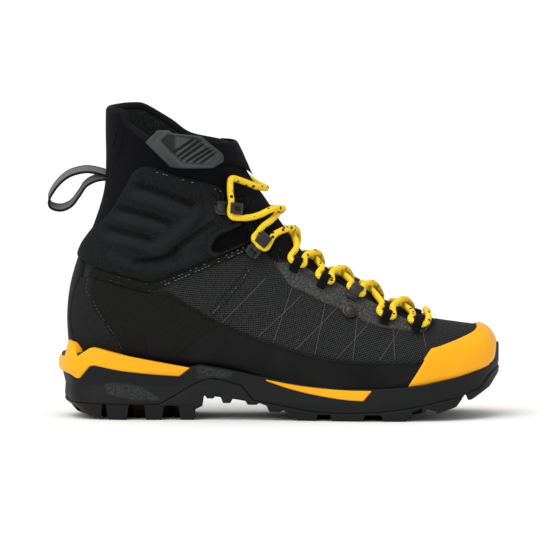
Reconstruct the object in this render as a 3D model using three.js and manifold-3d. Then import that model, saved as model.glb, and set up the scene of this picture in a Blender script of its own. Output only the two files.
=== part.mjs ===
// Mountaineering boot, right foot, size EU 42, as separate sub-parts.
// Millimetres. +X points to the toe, +Z up, the outer side of the foot is -Y, the inner side +Y.
// The origin is on the floor, under the lugs of the heel.
import * as THREE from "three";
import { mergeVertices } from "three/addons/utils/BufferGeometryUtils.js";
import Module from "manifold-3d";

const wasm = await Module();
wasm.setup();

// ---------------------------------------------------------------- driving dimensions
const clearance = 0.3;              // between touching pieces
const ringCount = 18;               // points round one ring
const far = 150;                    // well outside the boot, sideways

const layers = {                    // [inner, outer] offset from the boot's reference surface
  lining: [-6, -3.3],
  shell: [-3, -1],
  trim: [-0.7, 0.8],                // rand, counter, overlays, eyestays
  pad: [-0.7, 3],                   // ankle cuff
  cap: [1.1, 2.8],                  // flap and toe cap stand proud of the trim
};
const upperRoom = 1.1;              // offset of the hollow in the sole that the upper stands in
const footbedOffset = -7.5;         // offset of the foot bed's edge, inside the lining
const boardInset = 14;              // insole board, in from the sole's edge
const boardSpan = [5, 44];          // height the insole board is cut out between
const laceDiameter = 4.5;
const tipDiameter = 3.4;
const tipLength = 18;
const heelWallDepth = 6.5;          // how far the heel cradle reaches in from the sole's edge
const insertDepth = 5;              // how far a forefoot insert reaches in
const bumperThickness = 1.9;
const shankThickness = 1.2;
const shankHalfWidth = 12;

const colours = {
  black: "#17181a", rubber: "#26282a", yellow: "#f7b01c", grey: "#4b4e4c", webbing: "#6e6f70",
  lace: "#f9d22a", steel: "#8b8f92", lining: "#2a2c30", foam: "#3a3c3e", heather: "#3c3f41",
};

// ---------------------------------------------------------------- the boot's reference surface
// Each section is a slanted cut from a point on the front or top of the upper to a point on its
// bottom or back, seen from the side as [x, z]. half is its half width, shift moves its middle
// towards the big toe, widest is the height of its widest place (-1 low, 1 top), and square says
// how boxy it is above and below that place.
const sections = [
  { top: [254, 53], low: [255.5, 43], half: 12, shift: 9, widest: -0.1, square: [2.2, 2.6] },
  { top: [250.5, 59.5], low: [252, 36], half: 26, shift: 8, widest: -0.2, square: [2.2, 3] },
  { top: [243, 63.5], low: [243, 30], half: 35.5, shift: 7, widest: -0.3, square: [2.2, 3.5] },
  { top: [231, 65.5], low: [228, 24], half: 43, shift: 5.5, widest: -0.35, square: [2.2, 4] },
  { top: [211, 69], low: [205, 19], half: 48, shift: 3.5, widest: -0.4, square: [2.1, 4] },
  { top: [190, 76.5], low: [182, 16], half: 50, shift: 1.5, widest: -0.45, square: [2.1, 4] },
  { top: [169.5, 87], low: [157, 16], half: 49, shift: 0, widest: -0.45, square: [2.1, 4] },
  { top: [149, 98], low: [130, 18], half: 46, shift: -1, widest: -0.45, square: [2, 4] },
  { top: [131.5, 108], low: [101, 25], half: 42.5, shift: -1.5, widest: -0.45, square: [2, 4] },
  { top: [119, 120], low: [72, 33], half: 39.5, shift: -1, widest: -0.4, square: [2, 4] },
  { top: [110, 133], low: [43, 34.8], half: 38, shift: 0, widest: -0.35, square: [2, 3.8] },
  { top: [102, 145.5], low: [12, 35.5], half: 37.5, shift: 0, widest: -0.3, square: [2, 3.4] },
  { top: [95, 156], low: [-14, 37], half: 37.5, shift: 0, widest: -0.2, square: [2, 2.9] },
  { top: [89.5, 164], low: [-34, 42], half: 37.5, shift: 0, widest: -0.1, square: [2, 2.5] },
  { top: [86, 169.5], low: [-38.5, 63], half: 38.5, shift: 0, widest: 0, square: [2, 2.3] },
  { top: [83.5, 174], low: [-37, 88], half: 39.5, shift: 0, widest: 0, square: [2.1, 2.2] },
  { top: [81, 179], low: [-30.5, 112], half: 40.5, shift: 0, widest: 0.05, square: [2.2, 2.1] },
  { top: [79, 183], low: [-21.5, 135.5], half: 41, shift: 0, widest: 0.05, square: [2.2, 2.1] },
  { top: [77, 186.5], low: [-15.5, 157], half: 41, shift: 0, widest: 0.05, square: [2.3, 2.1] },
  { top: [75, 190], low: [-14, 178], half: 41, shift: 0, widest: 0, square: [2.3, 2.2] },
  { top: [73, 196], low: [-14, 200], half: 41, shift: 0, widest: 0, square: [2.3, 2.3] },
  { top: [69, 208], low: [-14, 236], half: 41, shift: 0, widest: 0, square: [2.3, 2.3] },
];

// Catmull-Rom value through a list, at a fractional index.
function smoothAt(values, index) {
  const last = values.length - 1;
  const i = Math.min(Math.floor(index), last - 1);
  const t = index - i;
  const [a, b, c, d] = [i - 1, i, i + 1, i + 2].map((k) => values[Math.max(0, Math.min(last, k))]);
  return b + 0.5 * t * (c - a + t * (2 * a - 5 * b + 4 * c - d + t * (3 * (b - c) + d - a)));
}

function sectionAt(index) {
  const read = (pick) => smoothAt(sections.map(pick), index);
  return {
    top: [read((s) => s.top[0]), read((s) => s.top[1])],
    low: [read((s) => s.low[0]), read((s) => s.low[1])],
    half: read((s) => s.half),
    shift: read((s) => s.shift),
    widest: read((s) => s.widest),
    squareTop: read((s) => s.square[0]),
    squareLow: read((s) => s.square[1]),
  };
}

// A point of the reference surface: turn 0 is the top, 0.25 the outer side, 0.5 the bottom.
function surfacePoint(index, turn) {
  const s = sectionAt(index);
  const angle = turn * 2 * Math.PI;
  const rise = Math.cos(angle);
  const out = Math.sin(angle);
  const square = rise > 0 ? s.squareTop : s.squareLow;
  const reach = rise > 0 ? 1 - s.widest : 1 + s.widest;
  const height = s.widest + Math.sign(rise) * reach * Math.abs(rise) ** (2 / square);
  const side = -Math.sign(out) * s.half * Math.abs(out) ** (2 / square);
  const mix = (height + 1) / 2;
  return new THREE.Vector3(
    s.low[0] + (s.top[0] - s.low[0]) * mix,
    s.shift + side,
    s.low[1] + (s.top[1] - s.low[1]) * mix,
  );
}

// The same point moved out along the surface's normal.
function offsetPoint(index, turn, offset) {
  const step = 0.02;
  const last = sections.length - 1;
  const along = surfacePoint(Math.min(last, index + step), turn)
    .sub(surfacePoint(Math.max(0, index - step), turn));
  const around = surfacePoint(index, turn + step).sub(surfacePoint(index, turn - step));
  const normal = along.cross(around).normalize();
  return surfacePoint(index, turn).addScaledVector(normal, offset);
}

// ---------------------------------------------------------------- solids from geometries
function solid(geometry) {
  const bare = geometry.clone();
  bare.deleteAttribute("normal");
  bare.deleteAttribute("uv");
  const merged = mergeVertices(bare, 1e-4);
  return new wasm.Manifold(new wasm.Mesh({
    numProp: 3,
    vertProperties: new Float32Array(merged.attributes.position.array),
    triVerts: new Uint32Array(merged.index.array),
  }));
}

function geometryOf(manifold) {
  const mesh = manifold.getMesh();
  const geometry = new THREE.BufferGeometry();
  geometry.setAttribute("position", new THREE.BufferAttribute(mesh.vertProperties, 3));
  geometry.setIndex(new THREE.BufferAttribute(mesh.triVerts, 1));
  geometry.computeVertexNormals();
  return geometry;
}

// Only the largest body of a solid, without the crumbs a cut can leave.
function largestBody(manifold) {
  return manifold.decompose().sort((a, b) => b.volume() - a.volume())[0];
}

// A closed skin over rings of points, with a flat fan at both ends.
function loftGeometry(rings) {
  const positions = rings.flat().flatMap((p) => [p.x, p.y, p.z]);
  const count = rings[0].length;
  const faces = [];
  for (let r = 0; r < rings.length - 1; r += 1) {
    for (let k = 0; k < count; k += 1) {
      const next = (k + 1) % count;
      const [a, b] = [r * count + k, r * count + next];
      const [c, d] = [a + count, b + count];
      faces.push(a, d, b, a, c, d);
    }
  }
  const end = (rings.length - 1) * count;
  for (let k = 1; k < count - 1; k += 1) {
    faces.push(0, k, k + 1, end, end + k + 1, end + k);
  }
  const geometry = new THREE.BufferGeometry();
  geometry.setAttribute("position", new THREE.Float32BufferAttribute(positions, 3));
  geometry.setIndex(faces);
  return geometry;
}

const bodies = new Map();
// The solid inside the reference surface moved out by an offset, from a first section on.
function bootBody(offset, first = 0) {
  const key = `${offset} ${first}`;
  if (!bodies.has(key)) {
    const rings = [];
    for (let index = first; index < sections.length; index += 1) {
      const ring = [];
      for (let k = 0; k < ringCount; k += 1) {
        ring.push(offsetPoint(index, k / ringCount, offset));
      }
      rings.push(ring);
    }
    bodies.set(key, solid(loftGeometry(rings)));
  }
  return bodies.get(key);
}

function skin([inner, outer], first = 0) {
  return bootBody(outer, first).subtract(bootBody(inner, Math.max(first, inner < -2 ? 1 : 0)));
}

// ---------------------------------------------------------------- outlines and prisms
function polygonArea(points) {
  return points.reduce((sum, [x, y], i) => {
    const [nx, ny] = points[(i + 1) % points.length];
    return sum + (x * ny - nx * y) / 2;
  }, 0);
}

// The outline moved out by a distance (in, where it is negative).
function grow(points, distance) {
  const sense = Math.sign(polygonArea(points));
  const count = points.length;
  return points.map(([x, y], i) => {
    const before = points[(i + count - 1) % count];
    const after = points[(i + 1) % count];
    const normals = [[before, [x, y]], [[x, y], after]].map(([p, q]) => {
      const length = Math.hypot(q[0] - p[0], q[1] - p[1]);
      return [(sense * (q[1] - p[1])) / length, (-sense * (q[0] - p[0])) / length];
    });
    const sum = [normals[0][0] + normals[1][0], normals[0][1] + normals[1][1]];
    const spread = Math.max(0.6, (sum[0] ** 2 + sum[1] ** 2) / 2);
    return [x + (sum[0] * distance) / spread, y + (sum[1] * distance) / spread];
  });
}

function extruded(points, depth) {
  const shape = new THREE.Shape(points.map(([x, y]) => new THREE.Vector2(x, y)));
  return new THREE.ExtrudeGeometry(shape, { depth, bevelEnabled: false });
}

// A side-view outline [x, z], swept sideways from y = from to y = to.
function sidePrism(points, from = -far, to = far) {
  const geometry = extruded(points, to - from);
  geometry.rotateX(Math.PI / 2);
  geometry.translate(0, to, 0);
  return solid(geometry);
}

// A plan outline [x, y], swept upwards.
function planPrism(points, from, to) {
  const geometry = extruded(points, to - from);
  geometry.translate(0, 0, from);
  return solid(geometry);
}

const sides = { outer: [-far, -clearance / 2], inner: [clearance / 2, far] };

// ---------------------------------------------------------------- outlines of the boot
const featherLine = [                // where the upper meets the sole
  [-42, 44], [-20, 46], [0, 43.5], [25, 39], [45, 35.5], [52, 37.5], [70, 34.5], [95, 29.5],
  [121, 24.5], [149, 22], [171, 21.5], [192, 22.5], [208, 24], [218, 26], [232, 29], [246, 33],
  [255, 37], [262, 41],
];
const soleEdge = [                   // plan view of the sole, round the outer side first
  [-44, -9], [-39.5, -22], [-31, -30.5], [-16, -35.5], [4, -37], [32, -36.5], [60, -36.5],
  [88, -38.5], [118, -43.5], [148, -48.5], [178, -51], [204, -49], [225, -43], [241, -33],
  [251.5, -20], [257.5, -5], [259, 9], [256, 23], [248, 35], [236, 45], [218, 52], [196, 54.5],
  [170, 53], [145, 47.5], [120, 39], [95, 32.5], [65, 31.5], [35, 34.5], [4, 37], [-16, 35.5],
  [-31, 30.5], [-39.5, 22], [-44, 9], [-45.2, 0],
];
const midsoleFloor = [               // side view, where the foam meets the rubber, heel to toe
  [-41.3, 14.5], [-37, 12], [-22, 11], [24, 10.8], [30, 14], [50, 25.5], [55, 27.5], [63, 27.5],
  [79, 24.5], [84, 21], [90, 14.5], [107, 11.8], [116, 8.6], [132, 5.8], [155, 5.2], [184, 6],
  [198, 7.5], [227, 16.3], [246, 23.5], [250, 28.5], [262, 33.5],
];
const soleBack = [[-45.6, 34], [-44.6, 25]];   // side view of the sole's back, above the rubber
const tread = [                      // side view of the ground contact, heel to toe
  [-41.3, 13.8], [-39, 9.5], [-31, 4.5], [-22, 0], [50, 0], [50.8, 10], [54.2, 17.6],
  [56, 17.2], [57, 14.9], [61.5, 14.9], [62.8, 16.9], [66.5, 16.6], [68.2, 11.7], [73, 11.7],
  [75, 15.6], [83.5, 13.8], [85.2, 10.7], [91, 10.7], [93, 12], [98.5, 10.4], [100.5, 5.8],
  [107.5, 5.8], [109.5, 5.4], [114, 3.2], [119.8, 0], [194, 0], [198, 3.5], [207, 7.5],
  [214.5, 6.8], [216.5, 5], [229, 9], [232.5, 13.4], [241, 14.2], [252, 21], [257.5, 27.5],
  [262, 31],
];
const cradleOutline = [              // heel cradle with its crampon ledge, side view
  [-39.7, 53.5], [-36, 52.4], [-32.6, 43.5], [-30.2, 45.5], [-24, 49.5], [-20, 49.5], [0, 44.8],
  [25, 40], [45, 36.3], [38, 30.5], [18, 31.7], [-3, 34.2], [-20, 37.7], [-23, 37.3],
  [-31.2, 28.8], [-34, 28.3], [-40.8, 31.4], [-46, 33.8], [-46, 41.2], [-39.7, 41.6],
];
const insertOutline = [              // forefoot insert, side view
  [96.5, 28.6], [121, 24.2], [149, 21.7], [171, 21.2], [165, 14.2], [149, 15.2], [128, 18.6],
  [111, 22.8], [98, 27],
];
const capOutline = [                 // toe cap, side view
  [244, 80], [244.5, 65.5], [241.5, 60.7], [233, 57], [218, 51.7], [212, 50.3], [209.6, 47.6],
  [201, 34], [193.5, 23.6], [208, 24.6], [218, 26.6], [232, 29.6], [246, 33.6], [255, 37.6],
  [264, 42], [264, 80],
];
const bumperOutline = [              // rubber upright in front of the toe cap, side view
  [252, 41.6], [262, 41.6], [262, 53.8], [258.2, 53.8], [255, 47],
];
const randOutline = [                // rubber rand, side view, up to the toe
  [31.6, 39.3], [45.4, 52.2], [67.5, 66.9], [92, 57.3], [114.5, 50.4], [132, 45.5],
  [152.5, 42.2], [176.5, 41.4], [207, 42.2], [222, 53], [250, 66], [262, 42], [246, 33.6], [218, 26.6], [192, 23.1], [171, 22.1],
  [149, 22.6], [121, 25.1], [95, 30.1], [70, 30], [36, 30],
];
const counterOutline = [             // heel counter round the back, side view
  [-60, 44.6], [-60, 94], [-30, 98], [-21.5, 96], [-21.5, 79], [-13.5, 68], [-2.5, 49],
  [-1.5, 45], [-20, 46.6],
];
const heelOverlayOutline = [         // overlay between the counter and the rand
  [-21.5, 97], [-14.6, 95.8], [15, 88], [24, 88.6], [30, 89], [48, 78], [67.4, 66.9],
  [45.4, 52.2], [31.6, 39.3], [25, 36], [-0.5, 40], [-1.9, 49.4], [-13, 68.5], [-21.2, 79.5],
  [-26, 92],
];
const ankleBandOutline = [           // strip of overlay that carries the cuff's lower seam
  [-22, 105], [-4, 100.5], [16, 95.8], [23, 95.8], [29, 98.3], [60, 110.3], [89.5, 122],
  [88.5, 117.5], [60, 105.8], [30, 94.2], [24, 90.6], [15, 88.6], [-2, 92.5], [-14.6, 96.4],
  [-24, 98.5],
];
const cuffOutline = [                // padded ankle cuff, side view
  [-28, 122], [-7.7, 146], [3.7, 166.7], [6, 171], [16, 175.5], [39, 169], [56, 164.4],
  [67.8, 158.7], [71, 146], [84, 132], [90.5, 123],
  [29, 99.3], [16, 96.8], [-19, 105.2], [-30, 114],
];
const eyestayOutline = [             // lace band beside the tongue, side view
  [72, 156.5], [86, 152.5], [88.5, 143], [95, 131.8], [107.5, 118.2], [118, 110], [134, 99.7],
  [150, 92.5], [169.6, 82], [190, 71.5], [211, 64.6], [207.5, 61], [191, 62.5], [185, 63.5],
  [167.5, 67.5], [160, 72.5], [150, 77], [137, 82], [125, 88.5], [115.5, 92], [107.5, 102],
  [97.5, 116], [91.3, 123.5], [84.7, 132.7], [72, 146.5],
];
const tongueEdge = [                 // side view of the slit beside the tongue, top to toe
  [60, 215], [66, 190], [70, 173], [76, 158], [86, 141], [101, 117.5], [112, 104.5], [132, 91.5],
  [150, 82.5], [170, 73], [190, 65.5], [203, 63], [214, 66], [216, 80],
];
const tongueArea = [...tongueEdge, [216, 140], [120, 230], [60, 240]];
const collarSeam = [                 // softshell collar above, woven shell below
  [-60, 118], [-20, 118], [20, 112], [60, 118], [130, 122],
];
const outerRim = [                   // top edge of the collar, outer side
  [-20, 213.5], [-14, 213.8], [-3, 214], [0, 205], [9, 199.5], [17, 195], [30, 190.5], [45, 190.5],
  [53, 192.5], [74, 190.5], [95, 190],
];
const innerRim = [                   // top edge of the collar, inner side
  [-20, 213.5], [-14, 213.8], [-3, 214.5], [12, 213.5], [30, 203.5], [46, 193.5], [74, 190.5],
  [95, 190],
];
const flapOutline = [                // cuff flap, side view
  [22, 186.5], [32, 195.8], [46.5, 195], [52.5, 194.3], [66, 191.2], [90, 190], [100, 168],
  [99, 160], [90.7, 163.3], [79.2, 173.5], [66.7, 177], [59, 174.3], [35, 175.3],
];
const tabOutline = [                 // moulded pull tab
  [15.5, 191], [24, 201], [31, 201], [47, 197.3], [53, 196.3], [65.5, 183], [65.5, 178.6],
  [59, 175], [32, 175.3],
];
const tapeOutline = [                // hook and loop tapes under the tab
  [26, 189.5], [31, 193], [47, 192], [57, 184], [56, 179.5], [36, 179.5],
];
const backstayOutline = [            // strip up the very back
  [-60, 50], [-60, 118], [-31.5, 118], [-28, 104], [-34.5, 83], [-36, 72], [-35, 61], [-32.5, 50],
];

// ---------------------------------------------------------------- areas shared by several pieces
const aboveSole = sidePrism([
  ...featherLine.map(([x, z]) => [x, z + clearance]), [320, 300], [-100, 300],
]);
const tongueZone = sidePrism(tongueArea);
const collarZone = sidePrism([...collarSeam, [130, 300], [-60, 300]]);
const cutTop = sidePrism([...outerRim, [95, 300], [-20, 300]], -far, 0)
  .add(sidePrism([...innerRim, [95, 300], [-20, 300]], 0, far));
const grownBy = (points, distance = clearance) => sidePrism(grow(points, distance));

function soleBlock(inset) {
  return planPrism(grow(soleEdge, -inset), -5, 80);
}

// The rim band of the sole, from its edge to a depth.
function soleRim(inset, depth) {
  return soleBlock(inset).subtract(soleBlock(inset + depth));
}

// ---------------------------------------------------------------- the scene graph
const boot = new THREE.Group();
const cuffFlap = new THREE.Group();
const heelLoop = new THREE.Group();
boot.add(cuffFlap, heelLoop);

function addPiece(name, shape, colour, finish = {}, parent = boot) {
  const geometry = shape instanceof THREE.BufferGeometry ? shape : geometryOf(largestBody(shape));
  const material = new THREE.MeshStandardMaterial({
    color: colours[colour], roughness: finish.roughness ?? 0.8, metalness: finish.metalness ?? 0,
  });
  const mesh = new THREE.Mesh(geometry, material);
  mesh.name = name;
  parent.add(mesh);
}

// ---------------------------------------------------------------- sole unit
const grooves = {                    // tread cuts, as [middle, width] along X, and their height
  heel: { top: 8.6, across: [[-14, 3.6], [8.5, 12], [32.5, 11.5]], from: -15, to: 52 },
  forefoot: { top: 3.8, across: [[137.5, 10], [171.4, 12.7]], from: 112, to: 205 },
};
const lengthwise = { places: [-16, 16], width: 5 };

function grooveBox(length, width, top, x, y) {
  const depth = top + 2;
  const box = new THREE.BoxGeometry(length, width, depth);
  box.translate(x, y, top - depth / 2);
  return solid(box);
}

function treadGrooves() {
  return Object.values(grooves).flatMap(({ top, across, from, to }) => [
    ...across.map(([x, width]) => grooveBox(width, 2 * far, top, x, 0)),
    ...lengthwise.places.map((y) => (
      grooveBox(to - from, lengthwise.width, top, (from + to) / 2, y))),
  ]);
}

function makeSole() {
  const rubberTop = midsoleFloor.map(([x, z]) => [x, z - clearance]);
  const outsole = treadGrooves().reduce(
    (block, groove) => block.subtract(groove),
    soleBlock(0).intersect(sidePrism([...tread, ...rubberTop.reverse()])),
  );
  addPiece("outsole", outsole, "rubber");

  const cradleRoom = soleRim(-2, heelWallDepth + 2.3).intersect(grownBy(cradleOutline));
  const insertRoom = soleRim(-2, insertDepth + 2.8).intersect(grownBy(insertOutline));
  const shankTop = [[-17, 31.5], [20, 31.5], [48, 31], [62, 30.4], [85, 26.5], [110, 20], [129, 15]];
  const shankSide = [...shankTop, ...shankTop.map(([x, z]) => [x, z - shankThickness]).reverse()];
  const shankRoom = grownBy([...shankSide.slice(shankTop.length), [-17, 90], [129, 90]])
    .intersect(sidePrism([[-30, 0], [140, 0], [140, 90], [-30, 90]],
      -shankHalfWidth - clearance, shankHalfWidth + clearance));
  const foam = soleBlock(0.8)
    .intersect(sidePrism([...midsoleFloor, ...[...featherLine].reverse(), ...soleBack]))
    .subtract(bootBody(upperRoom)).subtract(cradleRoom).subtract(insertRoom).subtract(shankRoom);
  addPiece("midsole", foam, "foam");

  const cradle = soleRim(0, heelWallDepth).intersect(sidePrism(cradleOutline))
    .subtract(bootBody(upperRoom));
  addPiece("heel_cradle", cradle, "yellow", { roughness: 0.55 });
  for (const [side, span] of Object.entries(sides)) {
    const insert = soleRim(0.2, insertDepth - 0.2).intersect(sidePrism(insertOutline, ...span));
    addPiece(`forefoot_insert_${side}`, insert.subtract(bootBody(upperRoom)), "yellow");
  }
  addPiece("shank", sidePrism(shankSide, -shankHalfWidth, shankHalfWidth), "steel",
    { roughness: 0.4, metalness: 0.8 });
  const bumper = soleRim(0, bumperThickness).intersect(sidePrism(bumperOutline));
  addPiece("toe_bumper", bumper.subtract(bootBody(layers.cap[1] + clearance)), "rubber");
}

// ---------------------------------------------------------------- the foot bed inside the lining
const footbedTop = [                // side view of the surface the foot stands on, heel to toe
  [-45, 50], [-14, 48], [12, 46.5], [43, 45.5], [72, 43], [101, 36.5], [130, 30.5], [157, 28.5],
  [182, 28.5], [205, 31.5], [228, 37], [243, 43], [255, 50],
];

function makeFloor() {
  const under = sidePrism([...footbedTop, [255, -5], [-45, -5]]);
  addPiece("insole_board", skin(layers.shell).intersect(boardArea(0)), "foam");
  addPiece("footbed", bootBody(footbedOffset, 1).intersect(under), "grey");
}

function boardArea(extra) {
  return planPrism(grow(soleEdge, extra - boardInset), ...boardSpan);
}

// ---------------------------------------------------------------- upper
function makeUpper() {
  const open = (shape) => shape.subtract(cutTop);
  addPiece("inner_lining", open(skin(layers.lining, 1)), "lining");
  const shell = open(skin(layers.shell)).subtract(boardArea(clearance));
  const slit = sidePrism(grow(tongueArea, clearance));
  addPiece("upper_shell", shell.subtract(collarZone).subtract(slit), "black");
  addPiece("tongue", shell.intersect(tongueZone), "black");
  const collar = shell.intersect(collarZone).subtract(slit);
  const aboveSeam = sidePrism([
    ...collarSeam.map(([x, z]) => [x, z + clearance]), [130, 300], [-60, 300],
  ]);
  addPiece("softshell_collar", collar.intersect(aboveSeam), "black");

  const trim = skin(layers.trim).intersect(aboveSole);
  const capRoom = grownBy(capOutline);
  const backstayRoom = grownBy(backstayOutline);
  const counter = trim.intersect(sidePrism(counterOutline)).subtract(backstayRoom);
  addPiece("heel_counter", counter, "black");
  addPiece("backstay", trim.intersect(sidePrism(backstayOutline)), "rubber", { roughness: 0.6 });
  const cap = skin([layers.trim[0], layers.cap[1]]).intersect(sidePrism(capOutline));
  addPiece("toe_cap", cap.intersect(aboveSole), "yellow", { roughness: 0.5 });
  for (const [side, span] of Object.entries(sides)) {
    const half = (outline) => sidePrism(outline, ...span);
    const eyestay = half(eyestayOutline);
    addPiece(`rand_${side}`, trim.intersect(half(randOutline)).subtract(capRoom), "rubber");
    addPiece(`heel_overlay_${side}`, trim.intersect(half(heelOverlayOutline))
      .subtract(backstayRoom).subtract(grownBy(counterOutline))
      .subtract(grownBy(randOutline)), "black");
    addPiece(`ankle_band_${side}`, trim.intersect(half(ankleBandOutline))
      .subtract(backstayRoom).subtract(grownBy(counterOutline))
      .subtract(grownBy(heelOverlayOutline)), "black");
    addPiece(`eyestay_${side}`, trim.intersect(eyestay).subtract(grownBy(cuffOutline))
      .subtract(grownBy(ankleBandOutline)), "heather");
    const pad = skin(layers.pad).intersect(half(cuffOutline));
    addPiece(`ankle_cuff_${side}`, pad.subtract(backstayRoom)
      .subtract(grownBy(ankleBandOutline)), "black");
  }
}

// ---------------------------------------------------------------- cuff flap and its closure
const flapFold = 4;                  // sideways place of the fold that the flap opens about

function makeCuffFlap() {
  const flap = skin(layers.cap).intersect(sidePrism(flapOutline, -far, flapFold));
  addPiece("cuff_flap", flap, "black", {}, cuffFlap);
  const sewn = skin(layers.cap).intersect(sidePrism(flapOutline, flapFold + 2 * clearance, far))
    .intersect(sidePrism([[62, 140], [120, 140], [120, 220], [52, 220]]));
  addPiece("flap_base", sewn, "black");
  const tab = skin([layers.cap[1] + clearance, layers.cap[1] + 3.4])
    .intersect(sidePrism(tabOutline, -far, 0));
  addPiece("pull_tab", tab, "grey", { roughness: 0.6 }, cuffFlap);
  const hooks = skin([0.1, 0.8]).intersect(sidePrism(tapeOutline, -far, 0));
  addPiece("hook_tape", hooks, "black", {}, cuffFlap);
  const loops = skin([-0.7, -0.2]).intersect(sidePrism(tapeOutline, -far, 0));
  addPiece("loop_tape", loops, "black");
}

// ---------------------------------------------------------------- heel pull loop
function makeHeelLoop() {
  const loopWidth = 10;
  const webbing = 2;
  const middle = [                   // middle line of the webbing, side view
    [-20.5, 170.3], [-28, 170.8], [-38, 168], [-46, 161.5], [-51.8, 152.5], [-51, 146.5],
    [-44, 144], [-37, 147], [-31.5, 154], [-26.5, 161], [-19.5, 164.5],
  ];
  const rim = grow(middle, webbing / 2);
  const hole = grow(middle, -webbing / 2).slice(1, -1);
  const ring = sidePrism(rim, -loopWidth / 2, loopWidth / 2)
    .subtract(sidePrism(hole, -far, far));
  addPiece("heel_pull_loop", ring.subtract(bootBody(3.5)), "webbing", {}, heelLoop);
}

// ---------------------------------------------------------------- lace hardware
// The surface's index and turn nearest to a side-view point, on one side of the boot.
function findOnSurface([x, z], side) {
  let best = { distance: Infinity };
  const turns = side === "outer" ? [0, 0.5] : [0.5, 1];
  const measure = (index, turn) => {
    const p = surfacePoint(index, turn);
    const distance = Math.hypot(p.x - x, p.z - z);
    if (distance < best.distance) best = { distance, index, turn };
  };
  const last = sections.length - 1;
  for (let index = 0; index <= last; index += 0.25) {
    for (let turn = turns[0]; turn <= turns[1]; turn += 0.01) measure(index, turn);
  }
  for (const span of [0.125, 0.03, 0.008]) {
    const { index, turn } = best;
    for (let i = -4; i <= 4; i += 1) {
      for (let k = -4; k <= 4; k += 1) {
        const tried = turn + k * span * 0.02;
        if (tried < turns[0] || tried > turns[1]) continue;
        measure(Math.max(0, Math.min(last, index + (i * span) / 2)), tried);
      }
    }
  }
  return best;
}

// Where a piece of hardware sits: its point, outward normal and the direction it points in.
function seat(point, side, offset, toward) {
  const { index, turn } = findOnSurface(point, side);
  const base = offsetPoint(index, turn, offset);
  const normal = offsetPoint(index, turn, offset + 1).sub(base).normalize();
  const wanted = new THREE.Vector3(toward[0], 0, toward[1]);
  const forward = wanted.addScaledVector(normal, -wanted.dot(normal)).normalize();
  const across = new THREE.Vector3().crossVectors(normal, forward);
  return new THREE.Matrix4().makeBasis(forward, across, normal).setPosition(base);
}

// Plate in the seat's plane, x forward, z outward.
function plate(length, width, thickness, lift = 0) {
  const box = new THREE.BoxGeometry(length, width, thickness);
  box.translate(0, 0, lift + thickness / 2);
  return solid(box);
}

function disc(radius, thickness, [x, y] = [0, 0], lift = 0) {
  const cylinder = new THREE.CylinderGeometry(radius * 0.7, radius, thickness, 10);
  cylinder.rotateX(Math.PI / 2);
  cylinder.translate(x, y, lift + thickness / 2);
  return solid(cylinder);
}

function placed(shape, matrix) {
  const geometry = geometryOf(shape);
  geometry.applyMatrix4(matrix);
  return solid(geometry);
}

// A profile in the seat's forward and outward directions, swept evenly to both sides of it.
function sweptProfile(profile, width) {
  const geometry = extruded(profile, width);
  geometry.rotateX(Math.PI / 2);
  geometry.translate(0, width / 2, 0);
  return solid(geometry);
}

// An open hook: a riveted foot, a post and a lip that keeps the lace behind the post.
function hookShape() {
  const hook = sweptProfile([
    [9.5, 0], [9.5, 1.4], [-8, 1.4], [-8, 6.6], [0.6, 6.6], [0.6, 8], [-9.5, 8], [-9.5, 0],
  ], 7);
  return hook.add(plate(20, 10, 1.6, -0.4)).add(disc(3.4, 2.4, [5.6, 0], 1));
}

// A low bridge that the lace runs through, seen along the lace.
function bridgeShape(width) {
  const profile = [
    [-6, 0], [-4, 0], [-4, 4.2], [-2.6, 5.8], [2.6, 5.8], [4, 4.2], [4, 0], [6, 0],
    [6, 1.4], [5.4, 1.4], [5.4, 5], [3.4, 7.2], [-3.4, 7.2], [-5.4, 5], [-5.4, 1.4], [-6, 1.4],
  ];
  return sweptProfile(profile, width);
}

const hardware = [                   // name, side-view place, the way it points, kind
  ["hook_top", [70, 145.5], [-1, 0.05], "cuff hook"],
  ["hook_lock", [91.5, 119.3], [-0.65, -0.75], "hook"],
  ["lace_loop_1", [117.4, 106.5], [0.45, 0.9], "bridge"],
  ["lace_loop_2", [137, 94.5], [0.45, 0.9], "bridge"],
  ["eyelet", [158.4, 85.5], [0.5, 0.87], "eyelet"],
  ["lace_loop_3", [179.2, 70.2], [0.35, 0.94], "bridge"],
  ["lace_loop_4", [201, 64], [0.3, 0.95], "bridge"],
];

// ---------------------------------------------------------------- lace
// A closed tube with one ring at each point of a route.
function tubeThrough(route, radius, sideCount) {
  const rings = [];
  let up = new THREE.Vector3(0, 0, 1);
  route.forEach((point, i) => {
    const before = route[Math.max(0, i - 1)];
    const after = route[Math.min(route.length - 1, i + 1)];
    const along = after.clone().sub(before).normalize();
    const across = along.clone().cross(up).normalize();
    up = across.clone().cross(along).normalize();
    rings.push(Array.from({ length: sideCount }, (_, k) => {
      const angle = (2 * Math.PI * k) / sideCount;
      return point.clone()
        .addScaledVector(across, radius * Math.cos(angle))
        .addScaledVector(up, radius * Math.sin(angle));
    }));
  });
  return loftGeometry(rings);
}

// The lace runs through each piece of hardware along its width, at this height over its foot.
const passHeight = { "cuff hook": 4, hook: 4, bridge: 3.1, eyelet: 3.1 };
const passReach = 5;
const hookPass = -0.8;               // how far forward in a hook the lace runs

function hardwarePass([, point, toward, kind], side) {
  const offset = kind === "cuff hook" ? layers.pad[1] + clearance : layers.trim[1] + clearance;
  const matrix = seat(point, side, offset, toward);
  const shiftAlong = kind.endsWith("hook") ? hookPass : 0;
  const ends = [-passReach, passReach].map((y) => (
    new THREE.Vector3(shiftAlong, y, passHeight[kind]).applyMatrix4(matrix)));
  const frontFirst = ends.sort((a, b) => (b.x - b.z) - (a.x - a.z));
  return { ends: frontFirst, ...findOnSurface(point, side) };
}

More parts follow.
